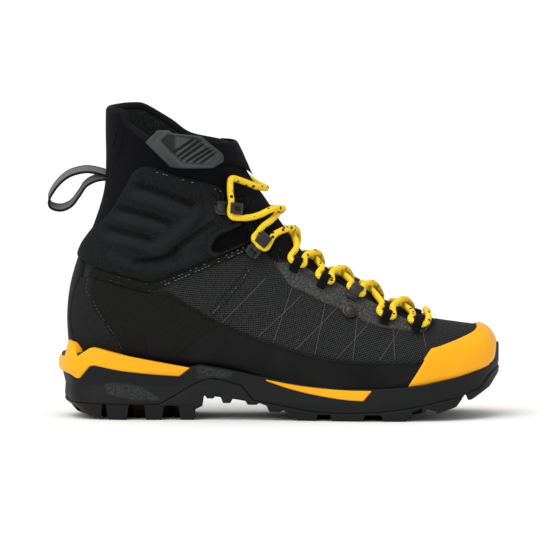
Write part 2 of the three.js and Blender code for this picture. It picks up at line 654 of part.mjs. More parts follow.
// Height of the lace over the reference surface, along a crossing.
const overLifts = [4.6, 6.5, 7.1, 6.5, 4.6];
const underLifts = [3.9, 2.4, 1.8, 2.4, 3.9];

// Points of one crossing over the tongue, from a pass on one side to the next on the other side.
function crossing(from, to, over) {
  const wrap = (turn) => (turn > 0.5 ? turn - 1 : turn);
  return (over ? overLifts : underLifts).map((lift, k) => {
    const t = (k + 1) / (overLifts.length + 1);
    const index = from.index + (to.index - from.index) * t;
    const turn = wrap(from.turn) + (wrap(to.turn) - wrap(from.turn)) * t;
    return offsetPoint(index, turn, lift);
  });
}

// The last crossing runs round the shin between the two hooks of a side, as [x, z].
const topCrossing = {
  lower: [[90.8, 127.5], [94.7, 132.2], [99.5, 135.5]],
  crest: [105, 140.5],
  upper: [[98.5, 141.8], [91.5, 139.4], [84.6, 138], [78, 138]],
  upperLifts: { over: [6.1, 4.6, 5, 6.2], under: [3.2, 3.9, 4.8, 6.2] },
  leastLift: 3,
};

function onSide(side, [x, z], lift) {
  const { index, turn } = findOnSurface([x, z], side);
  return offsetPoint(index, turn, lift);
}

function crossingAtTop(fromSide, toSide, over) {
  const lifts = over ? overLifts : underLifts;
  const upperLifts = topCrossing.upperLifts[over ? "over" : "under"];
  const crest = findOnSurface(topCrossing.crest, toSide);
  return [
    ...topCrossing.lower.map((point, k) => (
      onSide(fromSide, point, Math.max(lifts[Math.min(k, 1)], topCrossing.leastLift)))),
    offsetPoint(crest.index, 0, lifts[2]),
    ...topCrossing.upper.map((point, k) => onSide(toSide, point, upperLifts[k])),
  ];
}

const onPadLift = layers.pad[1] + clearance + laceDiameter / 2 + 0.4;
const laceTop = {                    // after the top hook, as [side, x, z, lift]
  outer: [
    ["outer", 70, 155, onPadLift], ["outer", 69.8, 161, onPadLift - 0.6], ["outer", 70.6, 166.6, 4.6],
    ["outer", 75, 165.6, 3.4], ["outer", 84, 160.9, 3.3], ["outer", 89, 158.2, 3.4],
    ["outer", 95.5, 156.5, 3.5], ["inner", 89, 158.6, 3.4], ["inner", 84, 162.5, 3.4],
    ["inner", 75, 167.5, 3.4], ["inner", 66, 168.5, 4.5], ["inner", 56, 162, onPadLift],
    ["inner", 50, 150, onPadLift], ["inner", 47, 136, onPadLift], ["inner", 46, 120, onPadLift],
  ],
  inner: [
    ["inner", 70, 155, onPadLift], ["inner", 66.5, 160, onPadLift],
    ["inner", 61.2, 157, onPadLift], ["inner", 56.6, 148, onPadLift],
    ["inner", 55, 136, onPadLift], ["inner", 54.2, 122, onPadLift],
  ],
};

function laceHalf(firstSide) {
  const other = { outer: "inner", inner: "outer" };
  const rows = [...hardware].reverse();
  const firstPass = hardwarePass(rows[0], firstSide);
  const away = firstSide === "outer" ? -1 : 1;
  const start = offsetPoint(firstPass.index - 0.25, 0, 3.6);
  start.y += away * 2 * clearance;
  const barBend = firstPass.ends[0].clone().lerp(start, 0.4);
  barBend.add(new THREE.Vector3(2.5, 2 * away, 1));
  const route = [start, barBend];
  let side = firstSide;
  let previous = null;
  rows.forEach((row, i) => {
    const pass = hardwarePass(row, side);
    if (previous) {
      const over = (i % 2 === 0) === (firstSide === "outer");
      const atTop = i === rows.length - 1;
      const between = atTop ? crossingAtTop(other[side], side, over) : crossing(previous, pass, over);
      route.push(...between);
    }
    route.push(...pass.ends);
    previous = pass;
    side = other[side];
  });
  const ending = laceTop[other[side]];
  return [...route, ...ending.map(([topSide, x, z, lift]) => onSide(topSide, [x, z], lift))];
}

const laceRoutes = Object.keys(sides).map(laceHalf);

function makeHardware() {
  const onTrim = layers.trim[1] + clearance;
  const onPad = layers.pad[1] + clearance;
  const shave = bootBody(onTrim).add(bootBody(onPad).intersect(grownBy(cuffOutline)));
  const room = laceRoutes
    .map((route) => solid(tubeThrough(route, laceDiameter / 2 + clearance, 8)))
    .reduce((joined, tube) => joined.add(tube), shave);
  const steel = { roughness: 0.35, metalness: 0.85 };
  for (const side of Object.keys(sides)) {
    for (const [name, point, toward, kind] of hardware) {
      const place = seat(point, side, kind === "cuff hook" ? onPad : onTrim, toward);
      const add = (label, shape, colour, finish) => {
        addPiece(`${label}_${side}`, placed(shape, place).subtract(room), colour, finish);
      };
      if (kind.endsWith("hook")) {
        add(name, hookShape(), "steel", steel);
      } else if (kind === "bridge") {
        add(name, bridgeShape(7), "webbing", {});
      } else {
        add(name, bridgeShape(8), "steel", steel);
        const rivet = seat([point[0] - 3, point[1] - 10.5], side, onTrim, toward);
        addPiece(`eyelet_rivet_${side}`, placed(disc(4.2, 3, [0, 0], -0.5), rivet).subtract(room),
          "steel", steel);
      }
    }
  }
}

function makeLace() {
  for (const [i, side] of Object.keys(sides).entries()) {
    const route = laceRoutes[i];
    addPiece(`lace_half_${side}`, tubeThrough(route, laceDiameter / 2, 8), "lace", { roughness: 0.9 });
    const [before, end] = route.slice(-2);
    const along = end.clone().sub(before).normalize();
    const tip = [clearance, tipLength].map((reach) => end.clone().addScaledVector(along, reach));
    addPiece(`lace_tip_${side}`, tubeThrough(tip, tipDiameter / 2, 8), "black", { roughness: 0.3 });
  }
}

makeSole();
makeFloor();
makeUpper();
makeCuffFlap();
makeHeelLoop();
makeHardware();
makeLace();

export default boot;
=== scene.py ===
"""The looks of a mountaineering boot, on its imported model. Lengths are millimetres until a mesh is
made (MM turns them into metres). +X is the toe, +Z up, the outer side of the foot is -Y."""

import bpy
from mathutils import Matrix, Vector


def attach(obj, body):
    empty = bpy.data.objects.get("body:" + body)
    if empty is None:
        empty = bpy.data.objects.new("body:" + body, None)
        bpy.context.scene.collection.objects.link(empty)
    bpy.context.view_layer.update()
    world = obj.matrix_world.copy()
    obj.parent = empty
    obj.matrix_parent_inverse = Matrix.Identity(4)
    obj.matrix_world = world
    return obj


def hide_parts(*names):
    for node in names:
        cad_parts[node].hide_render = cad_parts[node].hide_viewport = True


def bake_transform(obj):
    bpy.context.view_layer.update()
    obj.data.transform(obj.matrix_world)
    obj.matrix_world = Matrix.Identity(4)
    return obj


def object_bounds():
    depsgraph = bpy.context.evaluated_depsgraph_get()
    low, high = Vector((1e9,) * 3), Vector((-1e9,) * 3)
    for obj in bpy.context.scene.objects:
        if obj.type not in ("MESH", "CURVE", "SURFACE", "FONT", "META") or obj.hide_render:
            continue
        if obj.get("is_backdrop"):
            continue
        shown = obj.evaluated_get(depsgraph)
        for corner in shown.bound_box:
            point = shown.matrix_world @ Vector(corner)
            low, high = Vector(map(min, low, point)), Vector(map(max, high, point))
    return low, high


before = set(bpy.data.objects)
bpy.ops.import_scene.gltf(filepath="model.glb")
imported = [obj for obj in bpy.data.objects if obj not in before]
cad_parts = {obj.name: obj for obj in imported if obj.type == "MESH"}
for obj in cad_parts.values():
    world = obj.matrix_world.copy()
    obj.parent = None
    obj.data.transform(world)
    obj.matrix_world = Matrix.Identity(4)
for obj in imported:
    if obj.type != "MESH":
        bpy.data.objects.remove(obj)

import copy
import math

import bpy
import numpy as np
from mathutils import Vector

cad_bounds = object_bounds()
MM = 0.001
BOOT, FLAP_BODY, LOOP, INSOLE = "boot", "flap", "pull_loop", "insole"
OUTER, INNER = -1, 1                    # sign of Y on each side of the boot


# ------------------------------------------------------------------ camera, light and floor
VIEW_CENTRE = (0.104, -0.04, 0.1007)      # metres, as are the rest of the studio's lengths
VIEW_WIDTH = 0.3785                       # how much of the object's plane the picture spans
FLOOR_REACH = 14
WHITE = (1, 1, 1, 1)


def make_camera():
    target = Vector(VIEW_CENTRE)
    distance, elevation = 8.0, math.radians(4.5)
    data = bpy.data.cameras.new("camera")
    data.sensor_width = 36
    data.lens = data.sensor_width * distance / VIEW_WIDTH
    camera = bpy.data.objects.new("camera", data)
    camera.location = target + distance * Vector((0, -math.cos(elevation), math.sin(elevation)))
    camera.rotation_euler = (math.pi / 2 - elevation, 0, 0)
    bpy.context.scene.collection.objects.link(camera)
    bpy.context.scene.camera = camera


def add_light(name, kind, location, **values):
    data = bpy.data.lights.new(name, kind)
    for key, value in values.items():
        setattr(data, key, value)
    light = bpy.data.objects.new(name, data)
    light.location = location
    aim = Vector((0.1, 0, 0.1)) - Vector(location)
    light.rotation_euler = aim.to_track_quat("-Z", "Y").to_euler()
    bpy.context.scene.collection.objects.link(light)


def make_studio():
    add_light("overhead", "SUN", (-0.5, -0.6, 2.4), angle=math.radians(50), energy=1.55)
    add_light("key", "AREA", (-0.9, -1.7, 1.0), shape="SQUARE", size=0.8, energy=9)
    world = bpy.data.worlds.new("studio")
    world.use_nodes = True
    background = world.node_tree.nodes["Background"]
    background.inputs["Color"].default_value = WHITE
    background.inputs["Strength"].default_value = 0.68
    bpy.context.scene.world = world
    bpy.context.scene.view_settings.view_transform = "Standard"
    mesh = bpy.data.meshes.new("floor")
    corners = [(x * FLOOR_REACH, y * FLOOR_REACH, 0) for x, y in ((-1, -1), (1, -1), (1, 1), (-1, 1))]
    mesh.from_pydata(corners, [], [(0, 1, 2, 3)])
    floor = bpy.data.objects.new("floor", mesh)
    bpy.context.scene.collection.objects.link(floor)
    mesh.materials.append(new_material("floor_paint", (0.93, 0.93, 0.93), 0.9)[0])
    floor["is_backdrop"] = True


# ------------------------------------------------------------------ material helpers
def new_material(name, colour, roughness, shine=0.1):
    material = bpy.data.materials.new(name)
    material.use_nodes = True
    shader = material.node_tree.nodes["Principled BSDF"]
    shader.inputs["Base Color"].default_value = (*colour, 1)
    shader.inputs["Roughness"].default_value = roughness
    shader.inputs["Specular IOR Level"].default_value = shine
    return material, shader


WAVE_SCALE = 0.314                        # wave texture scale that gives one band per metre


class Nodes:
    """Short calls for building one material's node tree."""

    def __init__(self, material):
        self.tree = material.node_tree
        self.shader = self.tree.nodes["Principled BSDF"]

    def add(self, kind, **values):
        node = self.tree.nodes.new(kind)
        for key, value in values.items():
            setattr(node, key, value)
        return node

    def link(self, source, target):
        self.tree.links.new(source, target)

    def coordinates(self, use_uv=True, turn=0.0):
        source = self.add("ShaderNodeTexCoord").outputs["UV" if use_uv else "Object"]
        mapping = self.add("ShaderNodeMapping")
        mapping.inputs["Rotation"].default_value = (0, 0, math.radians(turn))
        self.link(source, mapping.inputs["Vector"])
        return mapping.outputs["Vector"]

    def noise(self, vector, scale, detail):
        node = self.add("ShaderNodeTexNoise")
        node.inputs["Scale"].default_value = scale
        node.inputs["Detail"].default_value = detail
        self.link(vector, node.inputs["Vector"])
        return node.outputs["Fac"]

    def bands(self, vector, pitch_mm, direction="X"):
        """Straight waves, one to each pitch."""
        node = self.add("ShaderNodeTexWave", wave_type="BANDS", bands_direction=direction)
        node.inputs["Scale"].default_value = WAVE_SCALE / (pitch_mm * MM)
        self.link(vector, node.inputs["Vector"])
        return node.outputs["Fac"]

    def cells(self, vector, scale):
        node = self.add("ShaderNodeTexVoronoi")
        node.inputs["Scale"].default_value = scale
        self.link(vector, node.inputs["Vector"])
        return node.outputs["Distance"]

    def attribute(self, name):
        return self.add("ShaderNodeAttribute", attribute_name=name).outputs["Fac"]

    def math(self, operation, first, second):
        node = self.add("ShaderNodeMath", operation=operation)
        for socket, value in zip(node.inputs, (first, second)):
            if isinstance(value, (int, float)):
                socket.default_value = value
            else:
                self.link(value, socket)
        return node.outputs[0]

    def ramp(self, factor, stops):
        node = self.add("ShaderNodeValToRGB")
        elements = node.color_ramp.elements
        while len(elements) < len(stops):
            elements.new(0.5)
        for element, (place, colour) in zip(elements, stops):
            element.position = place
            element.color = (*colour, 1)
        self.link(factor, node.inputs["Fac"])
        return node.outputs["Color"]

    def colour(self, socket):
        self.link(socket, self.shader.inputs["Base Color"])

    def roughness(self, factor, low, high):
        node = self.add("ShaderNodeMapRange")
        node.inputs["To Min"].default_value = low
        node.inputs["To Max"].default_value = high
        self.link(factor, node.inputs["Value"])
        self.link(node.outputs["Result"], self.shader.inputs["Roughness"])

    def bump(self, height, distance_mm, strength):
        node = self.add("ShaderNodeBump")
        node.inputs["Strength"].default_value = strength
        node.inputs["Distance"].default_value = distance_mm * MM
        self.link(height, node.inputs["Height"])
        self.link(node.outputs["Normal"], self.shader.inputs["Normal"])


def woven(name, dark, light, pitch_mm, turn=45.0, depth_mm=0.25):
    """Plain weave: two crossed sets of bands, the threads a little uneven in tone."""
    material, _ = new_material(name, dark, 0.85)
    nodes = Nodes(material)
    vector = nodes.coordinates(turn=turn)
    weave = nodes.math("MULTIPLY", nodes.bands(vector, pitch_mm, "X"), nodes.bands(vector, pitch_mm, "Y"))
    mottle = nodes.noise(vector, 500, 4)
    tone = nodes.math("ADD", nodes.math("MULTIPLY", weave, 0.7), nodes.math("MULTIPLY", mottle, 0.45))
    nodes.colour(nodes.ramp(tone, [(0.15, dark), (0.95, light)]))
    nodes.bump(weave, depth_mm, 0.8)
    return material


def knit_mesh(name, dark, light, pitch_mm, relief=0.0):
    """Fine open mesh: small round holes in rows. A vertex value called relief shifts the tone: painted
    highlight on raised parts and painted shade in hollows of the cuff, and a darker upper part on the
    eyestay.
    """
    material, _ = new_material(name, dark, 0.9)
    nodes = Nodes(material)
    vector = nodes.coordinates(turn=30)
    holes = nodes.cells(vector, 1 / (pitch_mm * MM))
    mottle = nodes.noise(vector, 400, 3)
    tone = nodes.math("ADD", nodes.math("MULTIPLY", holes, 0.8), nodes.math("MULTIPLY", mottle, 0.3))
    # the relief value added to the tone: on the cuff it paints highlight on ridges and shade in valleys and
    # the slot
    tone = nodes.math("ADD", tone, nodes.math("MULTIPLY", nodes.attribute("relief"), relief))
    nodes.colour(nodes.ramp(tone, [(0.2, dark), (0.9, light)]))
    nodes.bump(holes, 0.25, 0.7)
    return material


def moulded(name, colour, roughness, grain_mm=0.5, depth_mm=0.08, tone_and_shade_spread=0.12, shine=0.2, relief=0.0):
    """Moulded rubber or plastic: fine grain, tone that wanders slightly, and a relief value that paints
    raised parts paler (painted highlight) and hollows darker (painted shade).
    """
    material, _ = new_material(name, colour, roughness, shine)
    nodes = Nodes(material)
    vector = nodes.coordinates(use_uv=False)
    grain = nodes.noise(vector, 1 / (grain_mm * MM), 2)
    drift = nodes.noise(vector, 35, 4)
    # the relief value paints highlight on raised parts and shade in hollows; the spread widens the tone both
    # for this and for the random drift
    tone = nodes.math("ADD", drift, nodes.math("MULTIPLY", nodes.attribute("relief"), relief))
    deep = tuple(c * (1 - tone_and_shade_spread) for c in colour)
    pale = tuple(min(1, c * (1 + tone_and_shade_spread) + 0.004) for c in colour)
    nodes.colour(nodes.ramp(tone, [(0.3, deep), (0.7, pale)]))
    nodes.roughness(drift, roughness - 0.07, roughness + 0.07)
    nodes.bump(grain, depth_mm, 0.6)
    return material


# ------------------------------------------------------------------ the boot's reference surface
# Each section: top point, bottom or back point (side view x, z), half width, shift of its middle,
# height of its widest place, and how square it is above and below that place.
SECTIONS = [
    ((256.5, 47.4), (256.6, 46.6), 0.4, 9.4, 0, (2, 2)),
    ((256.1, 51), (256.7, 43.6), 7, 9.3, -0.05, (2.1, 2.3)),
    ((254.4, 55), (255.8, 41), 15, 9, -0.1, (2.2, 2.6)),
    ((250.6, 60), (252.2, 36), 27, 8, -0.2, (2.2, 3)),
    ((243, 63.5), (243, 30), 35.5, 7, -0.3, (2.2, 3.5)),
    ((231, 65.5), (228, 24), 43, 5.5, -0.35, (2.2, 4)),
    ((211, 69), (205, 19), 48, 3.5, -0.4, (2.1, 4)),
    ((190, 76.5), (182, 16), 50, 1.5, -0.45, (2.1, 4)),
    ((169.5, 87), (157, 16), 49, 0, -0.45, (2.1, 4)),
    ((149, 98), (130, 18), 46, -1, -0.45, (2, 4)),
    ((131.5, 108), (101, 25), 42.5, -1.5, -0.45, (2, 4)),
    ((119, 120), (72, 33), 39.5, -1, -0.4, (2, 4)),
    ((110, 133), (43, 34.8), 38, 0, -0.35, (2, 3.8)),
    ((102, 145.5), (12, 35.5), 37.5, 0, -0.3, (2, 3.4)),
    ((95, 156), (-14, 37), 37.5, 0, -0.2, (2, 2.9)),
    ((89.5, 164), (-34, 42), 37.5, 0, -0.1, (2, 2.5)),
    ((86, 169.5), (-38.5, 63), 38.5, 0, 0, (2, 2.3)),
    ((83.5, 174), (-37, 88), 39.5, 0, 0, (2.1, 2.2)),
    ((81, 179), (-30.5, 112), 40.5, 0, 0.05, (2.2, 2.1)),
    ((79, 183), (-21.5, 135.5), 41, 0, 0.05, (2.2, 2.1)),
    ((77, 186.5), (-15.5, 157), 41, 0, 0.05, (2.3, 2.1)),
    ((75, 190), (-14, 178), 41, 0, 0, (2.3, 2.2)),
    ((73, 196), (-14, 200), 41, 0, 0, (2.3, 2.3)),
    ((69, 208), (-14, 236), 41, 0, 0, (2.3, 2.3)),
]
SECTION_VALUES = np.array([(*top, *low, half, shift, widest, *square)
                           for top, low, half, shift, widest, square in SECTIONS], float)
LAST_SECTION = len(SECTIONS) - 1


def along_table(table, x):
    """Second column of a table of pairs, read between its rows at x."""
    table = np.array(table)
    return np.interp(x, table[:, 0], table[:, 1])


def unit(vectors):
    return vectors / np.maximum(np.linalg.norm(vectors, axis=-1, keepdims=True), 1e-9)


def smooth_at(values, index):
    """Catmull-Rom values through the rows of a table, at fractional row numbers."""
    last = len(values) - 1
    i = np.minimum(np.floor(index).astype(int), last - 1)
    t = (index - i)[..., None]
    a, b, c, d = (values[np.clip(i + k, 0, last)] for k in (-1, 0, 1, 2))
    return b + 0.5 * t * (c - a + t * (2 * a - 5 * b + 4 * c - d + t * (3 * (b - c) + d - a)))


def surface(index, turn):
    """Points of the reference surface; turn 0 is the top, 0.25 the outer side, 0.5 the bottom."""
    index, turn = np.broadcast_arrays(np.asarray(index, float), np.asarray(turn, float))
    section = smooth_at(SECTION_VALUES, np.clip(index, 0, LAST_SECTION))
    top, low = section[..., 0:2], section[..., 2:4]
    half, shift, widest = section[..., 4], section[..., 5], section[..., 6]
    rise, out = np.cos(2 * np.pi * turn), np.sin(2 * np.pi * turn)
    square = np.where(rise > 0, section[..., 7], section[..., 8])
    reach = np.where(rise > 0, 1 - widest, 1 + widest)
    height = widest + np.sign(rise) * reach * np.abs(rise) ** (2 / square)
    side = -np.sign(out) * half * np.abs(out) ** (2 / square)
    mix = ((height + 1) / 2)[..., None]
    flat = low + (top - low) * mix
    return np.stack([flat[..., 0], shift + side, flat[..., 1]], axis=-1)


def surface_normal(index, turn, step=0.02):
    along = (surface(np.minimum(np.asarray(index) + step, LAST_SECTION), turn)
             - surface(np.maximum(np.asarray(index) - step, 0), turn))
    around = surface(index, np.asarray(turn) + step) - surface(index, np.asarray(turn) - step)
    return unit(np.cross(along, around))


def offset_point(index, turn, offset):
    return surface(index, turn) + surface_normal(index, turn) * offset


def arc_length(points, axis):
    """Length run so far along one axis of a grid of points."""
    steps = np.linalg.norm(np.diff(points, axis=axis), axis=-1)
    return np.insert(np.cumsum(steps, axis=axis), 0, 0, axis=axis)


def even_turns(index, first, last, count):
    """For each section number, turns whose points are evenly spaced from one turn to another."""
    turns = np.linspace(first, last, 260)
    run = arc_length(surface(index[:, None], turns[None]), 1)
    return np.stack([np.interp(np.linspace(0, row[-1], count), row, turns) for row in run])


class Grid:
    """Points on the reference surface. Rows run up the boot from the toe; columns run round it,
    from the inner side (turn below 0) over the top to the outer side."""

    def __init__(self, index, turn):
        self.points = surface(index[:, None], turn)
        self.u = arc_length(self.points, 0)
        self.v = arc_length(self.points, 1)
        self.normals = unit(np.cross(np.gradient(self.points, axis=0), np.gradient(self.points, axis=1)))
        self.places = self.points[..., [0, 2]]

    @classmethod
    def local(cls, index_range, turn_range, step):
        """An even patch between two sections and two turns."""
        rough = np.linspace(*index_range, 200)
        run = arc_length(surface(rough, np.mean(turn_range)), 0)
        index = np.interp(np.linspace(0, run[-1], int(run[-1] / step) + 1), run, rough)
        width = arc_length(surface(np.mean(index_range), np.linspace(*turn_range, 100)), 0)[-1]
        grid = cls(index, even_turns(index, *turn_range, int(width / step) + 1))
        grid.uv = np.stack([grid.u, grid.v], axis=-1)
        return grid

    @classmethod
    def whole(cls, rows=420, half_columns=115):
        rough = np.linspace(0, LAST_SECTION, 900)
        guide = surface(rough, 0.25) * 0.4 + surface(rough, 0.4) * 0.6
        run = arc_length(guide, 0)
        index = np.interp(np.linspace(0, run[-1], rows), run, rough)
        outer = even_turns(index, 0, 0.5, half_columns)
        grid = cls(index, np.concatenate([-outer[:, :0:-1], outer], axis=1))
        grid.middle = half_columns - 1
        v = grid.v - grid.v[:, grid.middle:grid.middle + 1]
        u = np.broadcast_to(np.linspace(0, run[-1], rows)[:, None], v.shape)
        grid.uv = np.stack([u, v], axis=-1)
        return grid


# ------------------------------------------------------------------ outlines in side view
def curve(points, step=3.0):
    """A closed outline through the points: smooth, but sharp at each point marked with a 1."""
    count = len(points)
    corners = [i for i, p in enumerate(points) if len(p) > 2]
    plain = np.array([p[:2] for p in points], float)
    if not corners:
        padded = np.concatenate([plain[-2:], plain, plain[:3]])
        index = np.linspace(2, count + 2, int(count * 8) + 1)[:-1]
        return smooth_at(padded, index)
    runs = []
    for start, end in zip(corners, corners[1:] + [corners[0] + count]):
        run = plain[[k % count for k in range(start, end + 1)]]
        length = np.linalg.norm(np.diff(run, axis=0), axis=1).sum()
        steps = max(len(run) - 1, int(length / step))
        index = np.linspace(0, len(run) - 1, steps + 1)[:-1]
        runs.append(smooth_at(run, index))
    return np.concatenate(runs)


CHUNK = 8000                              # places measured at once, to spare memory


def in_chunks(numbers):
    return np.array_split(numbers, max(1, len(numbers) // CHUNK))


def distance_to_edges(places, start, edge):
    """Distance of each place to the nearest of some straight edges."""
    apart = places[:, None] - start
    t = np.clip((apart * edge).sum(axis=2) / (edge ** 2).sum(axis=1), 0, 1)
    return np.linalg.norm(apart - t[..., None] * edge, axis=2).min(axis=1)


def distance_to_outline(places, outline, reach=12.0):
    """Signed distance of side-view places to a closed outline, negative inside."""
    flat = places.reshape(-1, 2)
    result = np.full(len(flat), reach)
    low, high = outline.min(axis=0) - reach, outline.max(axis=0) + reach
    near = np.flatnonzero(((flat > low) & (flat < high)).all(axis=1))
    start, end = outline, np.roll(outline, -1, axis=0)
    edge = end - start
    rise = np.where(np.abs(edge[:, 1]) < 1e-9, 1e-9, edge[:, 1])
    for chunk in in_chunks(near):
        gap = distance_to_edges(flat[chunk], start, edge)
        x, z = flat[chunk].T[..., None]
        crossed = (start[:, 1] > z) != (end[:, 1] > z)
        hit = start[:, 0] + (z - start[:, 1]) * edge[:, 0] / rise
        inside = (crossed & (x < hit)).sum(axis=1) % 2 == 1
        result[chunk] = np.where(inside, -gap, gap)
    return result.reshape(places.shape[:-1])


def distance_to_line(places, line):
    """Distance of side-view places to an open line of points."""
    line = np.asarray(line, float)
    best = np.full(len(places), 1e9)
    for chunk in in_chunks(np.arange(len(places))):
        best[chunk] = distance_to_edges(places[chunk], line[:-1], np.diff(line, axis=0))
    return best


def smooth_line(points, per=8):
    points = np.asarray(points, float)
    return smooth_at(points, np.linspace(0, len(points) - 1, (len(points) - 1) * per + 1))


# ------------------------------------------------------------------ patches cut out of a grid
class Patch:
    """Part of a grid: its points, normals, uv, signed distance to the edge, and faces."""

    def __init__(self, points, normals, uv, edge, faces):
        self.values = np.concatenate([points, normals, uv, edge[:, None]], axis=1)
        self.faces = faces

    points = property(lambda self: self.values[:, 0:3])
    normals = property(lambda self: self.values[:, 3:6])
    uv = property(lambda self: self.values[:, 6:8])
    edge = property(lambda self: self.values[:, 8])
    side_view = property(lambda self: self.values[:, [0, 2]])
    wall_places = property(lambda self: self.values[:, [0, 7]])      # x, and height up an unrolled wall

    def split(self, level, keep_outside=True):
        """Cut the faces along one distance from the edge."""
        values = list(self.values)
        edge = self.edge - level
        edge = np.where(np.abs(edge) < 1e-6, 1e-6, edge)
        cuts = {}

        def cut(a, b):
            key = (min(a, b), max(a, b))
            if key not in cuts:
                t = edge[key[0]] / (edge[key[0]] - edge[key[1]])
                cuts[key] = len(values)
                values.append(self.values[key[0]] * (1 - t) + self.values[key[1]] * t)
            return cuts[key]

        faces = []
        for face in self.faces:
            signs = [edge[v] > 0 for v in face]
            if not any(signs):
                faces.append(face)
                continue
            if all(signs):
                if keep_outside:
                    faces.append(face)
                continue
            inside, outside = [], []
            for a, b in zip(face, face[1:] + face[:1]):
                (outside if edge[a] > 0 else inside).append(a)
                if (edge[a] > 0) != (edge[b] > 0):
                    new = cut(a, b)
                    inside.append(new)
                    outside.append(new)
            faces.append(inside)
            if keep_outside:
                faces.append(outside)
        self.values = np.array(values)
        self.faces = [f for f in faces if len(f) > 2]
        return self


def cut_patch(grid, edge, columns=None, rim=()):
    """The part of a grid inside an edge (signed distance), split again at the rim's distances."""
    rows, width = edge.shape
    first, last = columns or (0, width - 1)
    numbers = np.arange(rows * width).reshape(rows, width)
    quads = np.stack([numbers[:-1, first:last], numbers[1:, first:last],
                      numbers[1:, first + 1:last + 1], numbers[:-1, first + 1:last + 1]], axis=-1)
    quads = quads.reshape(-1, 4)
    flat = edge.reshape(-1)
    quads = quads[(flat[quads] < 0).any(axis=1)]
    used, faces = np.unique(quads, return_inverse=True)
    faces = [list(f) for f in faces.reshape(-1, 4)]
    patch = Patch(grid.points.reshape(-1, 3)[used], grid.normals.reshape(-1, 3)[used],
                  grid.uv.reshape(-1, 2)[used], flat[used], faces)
    patch.split(0, keep_outside=False)
    for level in rim:
        patch.split(-level)
    return patch


def make_object(name, points_mm, faces, material, uv_mm=None, smooth=True):
    mesh = bpy.data.meshes.new(name)
    used = sorted({v for face in faces for v in face})
    renumber = {v: i for i, v in enumerate(used)}
    points = np.asarray(points_mm)[used] * MM
    mesh.from_pydata(points.tolist(), [], [[renumber[v] for v in face] for face in faces])
    if uv_mm is not None:
        layer = mesh.uv_layers.new(name="UVMap")
        corner = np.empty(len(mesh.loops), dtype=np.int32)
        mesh.loops.foreach_get("vertex_index", corner)
        uv = (np.asarray(uv_mm)[used] * MM)[corner]
        layer.data.foreach_set("uv", uv.astype(np.float32).ravel())
    mesh.materials.append(material)
    if smooth:
        mesh.polygons.foreach_set("use_smooth", [True] * len(mesh.polygons))
    mesh.update()
    piece = bpy.data.objects.new(name, mesh)
    bpy.context.scene.collection.objects.link(piece)
    return piece


def positions(piece):
    """x, y and z of a finished piece's vertices."""
    values = np.zeros(len(piece.data.vertices) * 3)
    piece.data.vertices.foreach_get("co", values)
    return (values.reshape(-1, 3) / MM).T


def side_places(piece):
    return positions(piece)[[0, 2]].T


def mark(piece, name, values):
    """A value for each vertex, for the piece's shader to read."""
    attribute = piece.data.attributes.new(name, "FLOAT", "POINT")
    attribute.data.foreach_set("value", np.asarray(values, np.float32))


def rounded(edge, radius):
    """0 at an edge and 1 beyond its rounding."""
    t = np.clip(-edge / radius, 0, 1)
    return np.sqrt(1 - (1 - t) ** 2)


def finish_piece(piece, body, nodes):
    """Put a piece on the body it rides and hide the CAD nodes it stands in for."""
    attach(piece, body)
    if nodes:
        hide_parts(*nodes)


# ------------------------------------------------------------------ outlines of the upper
FEATHER = [(-60, 44.6), (-42, 44.2), (-20, 46.3), (0, 43.8), (25, 39.3), (45, 35.8), (52, 37.8), (70, 34.8),
           (95, 29.8), (121, 24.8), (149, 22.3), (171, 21.8), (192, 22.8), (208, 24.3), (218, 26.3),
           (232, 29.3), (246, 33.3), (255, 37.3), (264, 42)]
CAP = [(244, 90, 1), (244.5, 65.5, 1), (241.5, 60.7), (233, 57), (218, 51.7), (212, 50.3, 1), (209.6, 47.6),
       (201, 34), (193.5, 22.8, 1), (208, 23.3), (218, 25.3), (232, 28.3), (246, 32.3), (255, 36.3),
       (266, 41, 1), (266, 90, 1)]
RAND = [(29, 36, 1), (45.4, 52.2), (67.5, 66.9, 1), (92, 57.3), (114.5, 50.4), (132, 45.5), (152.5, 42.2),
        (176.5, 41.4), (205, 42.2), (222, 53), (250, 66, 1), (262, 42, 1), (246, 31.6), (218, 24.6),
        (192, 21.1), (171, 20.1), (149, 20.6), (121, 23.1), (95, 28.1), (70, 30), (45, 29)]
COUNTER = [(-60, 42, 1), (-60, 94, 1), (-30, 98), (-21.5, 96, 1), (-21.5, 79), (-13.5, 68), (-2.5, 49),
           (-0.5, 42, 1)]
HEEL_OVERLAY = [(-21.5, 98, 1), (-14.6, 96.3), (2, 91.5), (15, 88.2), (24, 88.6), (30, 89, 1), (48, 78),
                (70, 65, 1), (45.4, 49), (30, 35, 1), (25, 35), (-0.5, 40, 1), (-1.9, 49.4), (-13, 68.5),
                (-21.2, 79.5), (-26, 92, 1)]
ANKLE_BAND = [(-23, 105.6, 1), (-4, 100.6), (16, 95.9), (22.5, 95.8), (29, 98.3), (60, 110.4), (90, 122, 1),
              (88.5, 117.3, 1), (60, 105.8), (32, 95), (24, 91), (15, 88.8), (2, 92), (-14.6, 96.6),
              (-25, 98.5, 1)]
CUFF = [(-34, 112), (-28, 122), (-18, 134), (-7.7, 146), (3.7, 166.7), (6, 171), (16, 175.5), (39, 169),
        (56, 164.4), (67.8, 158.7), (71, 146), (84, 132), (90.5, 123, 1), (60, 111), (29, 99), (22, 96.6),
        (16, 96.8), (-4, 101.2), (-21, 105.6, 1)]
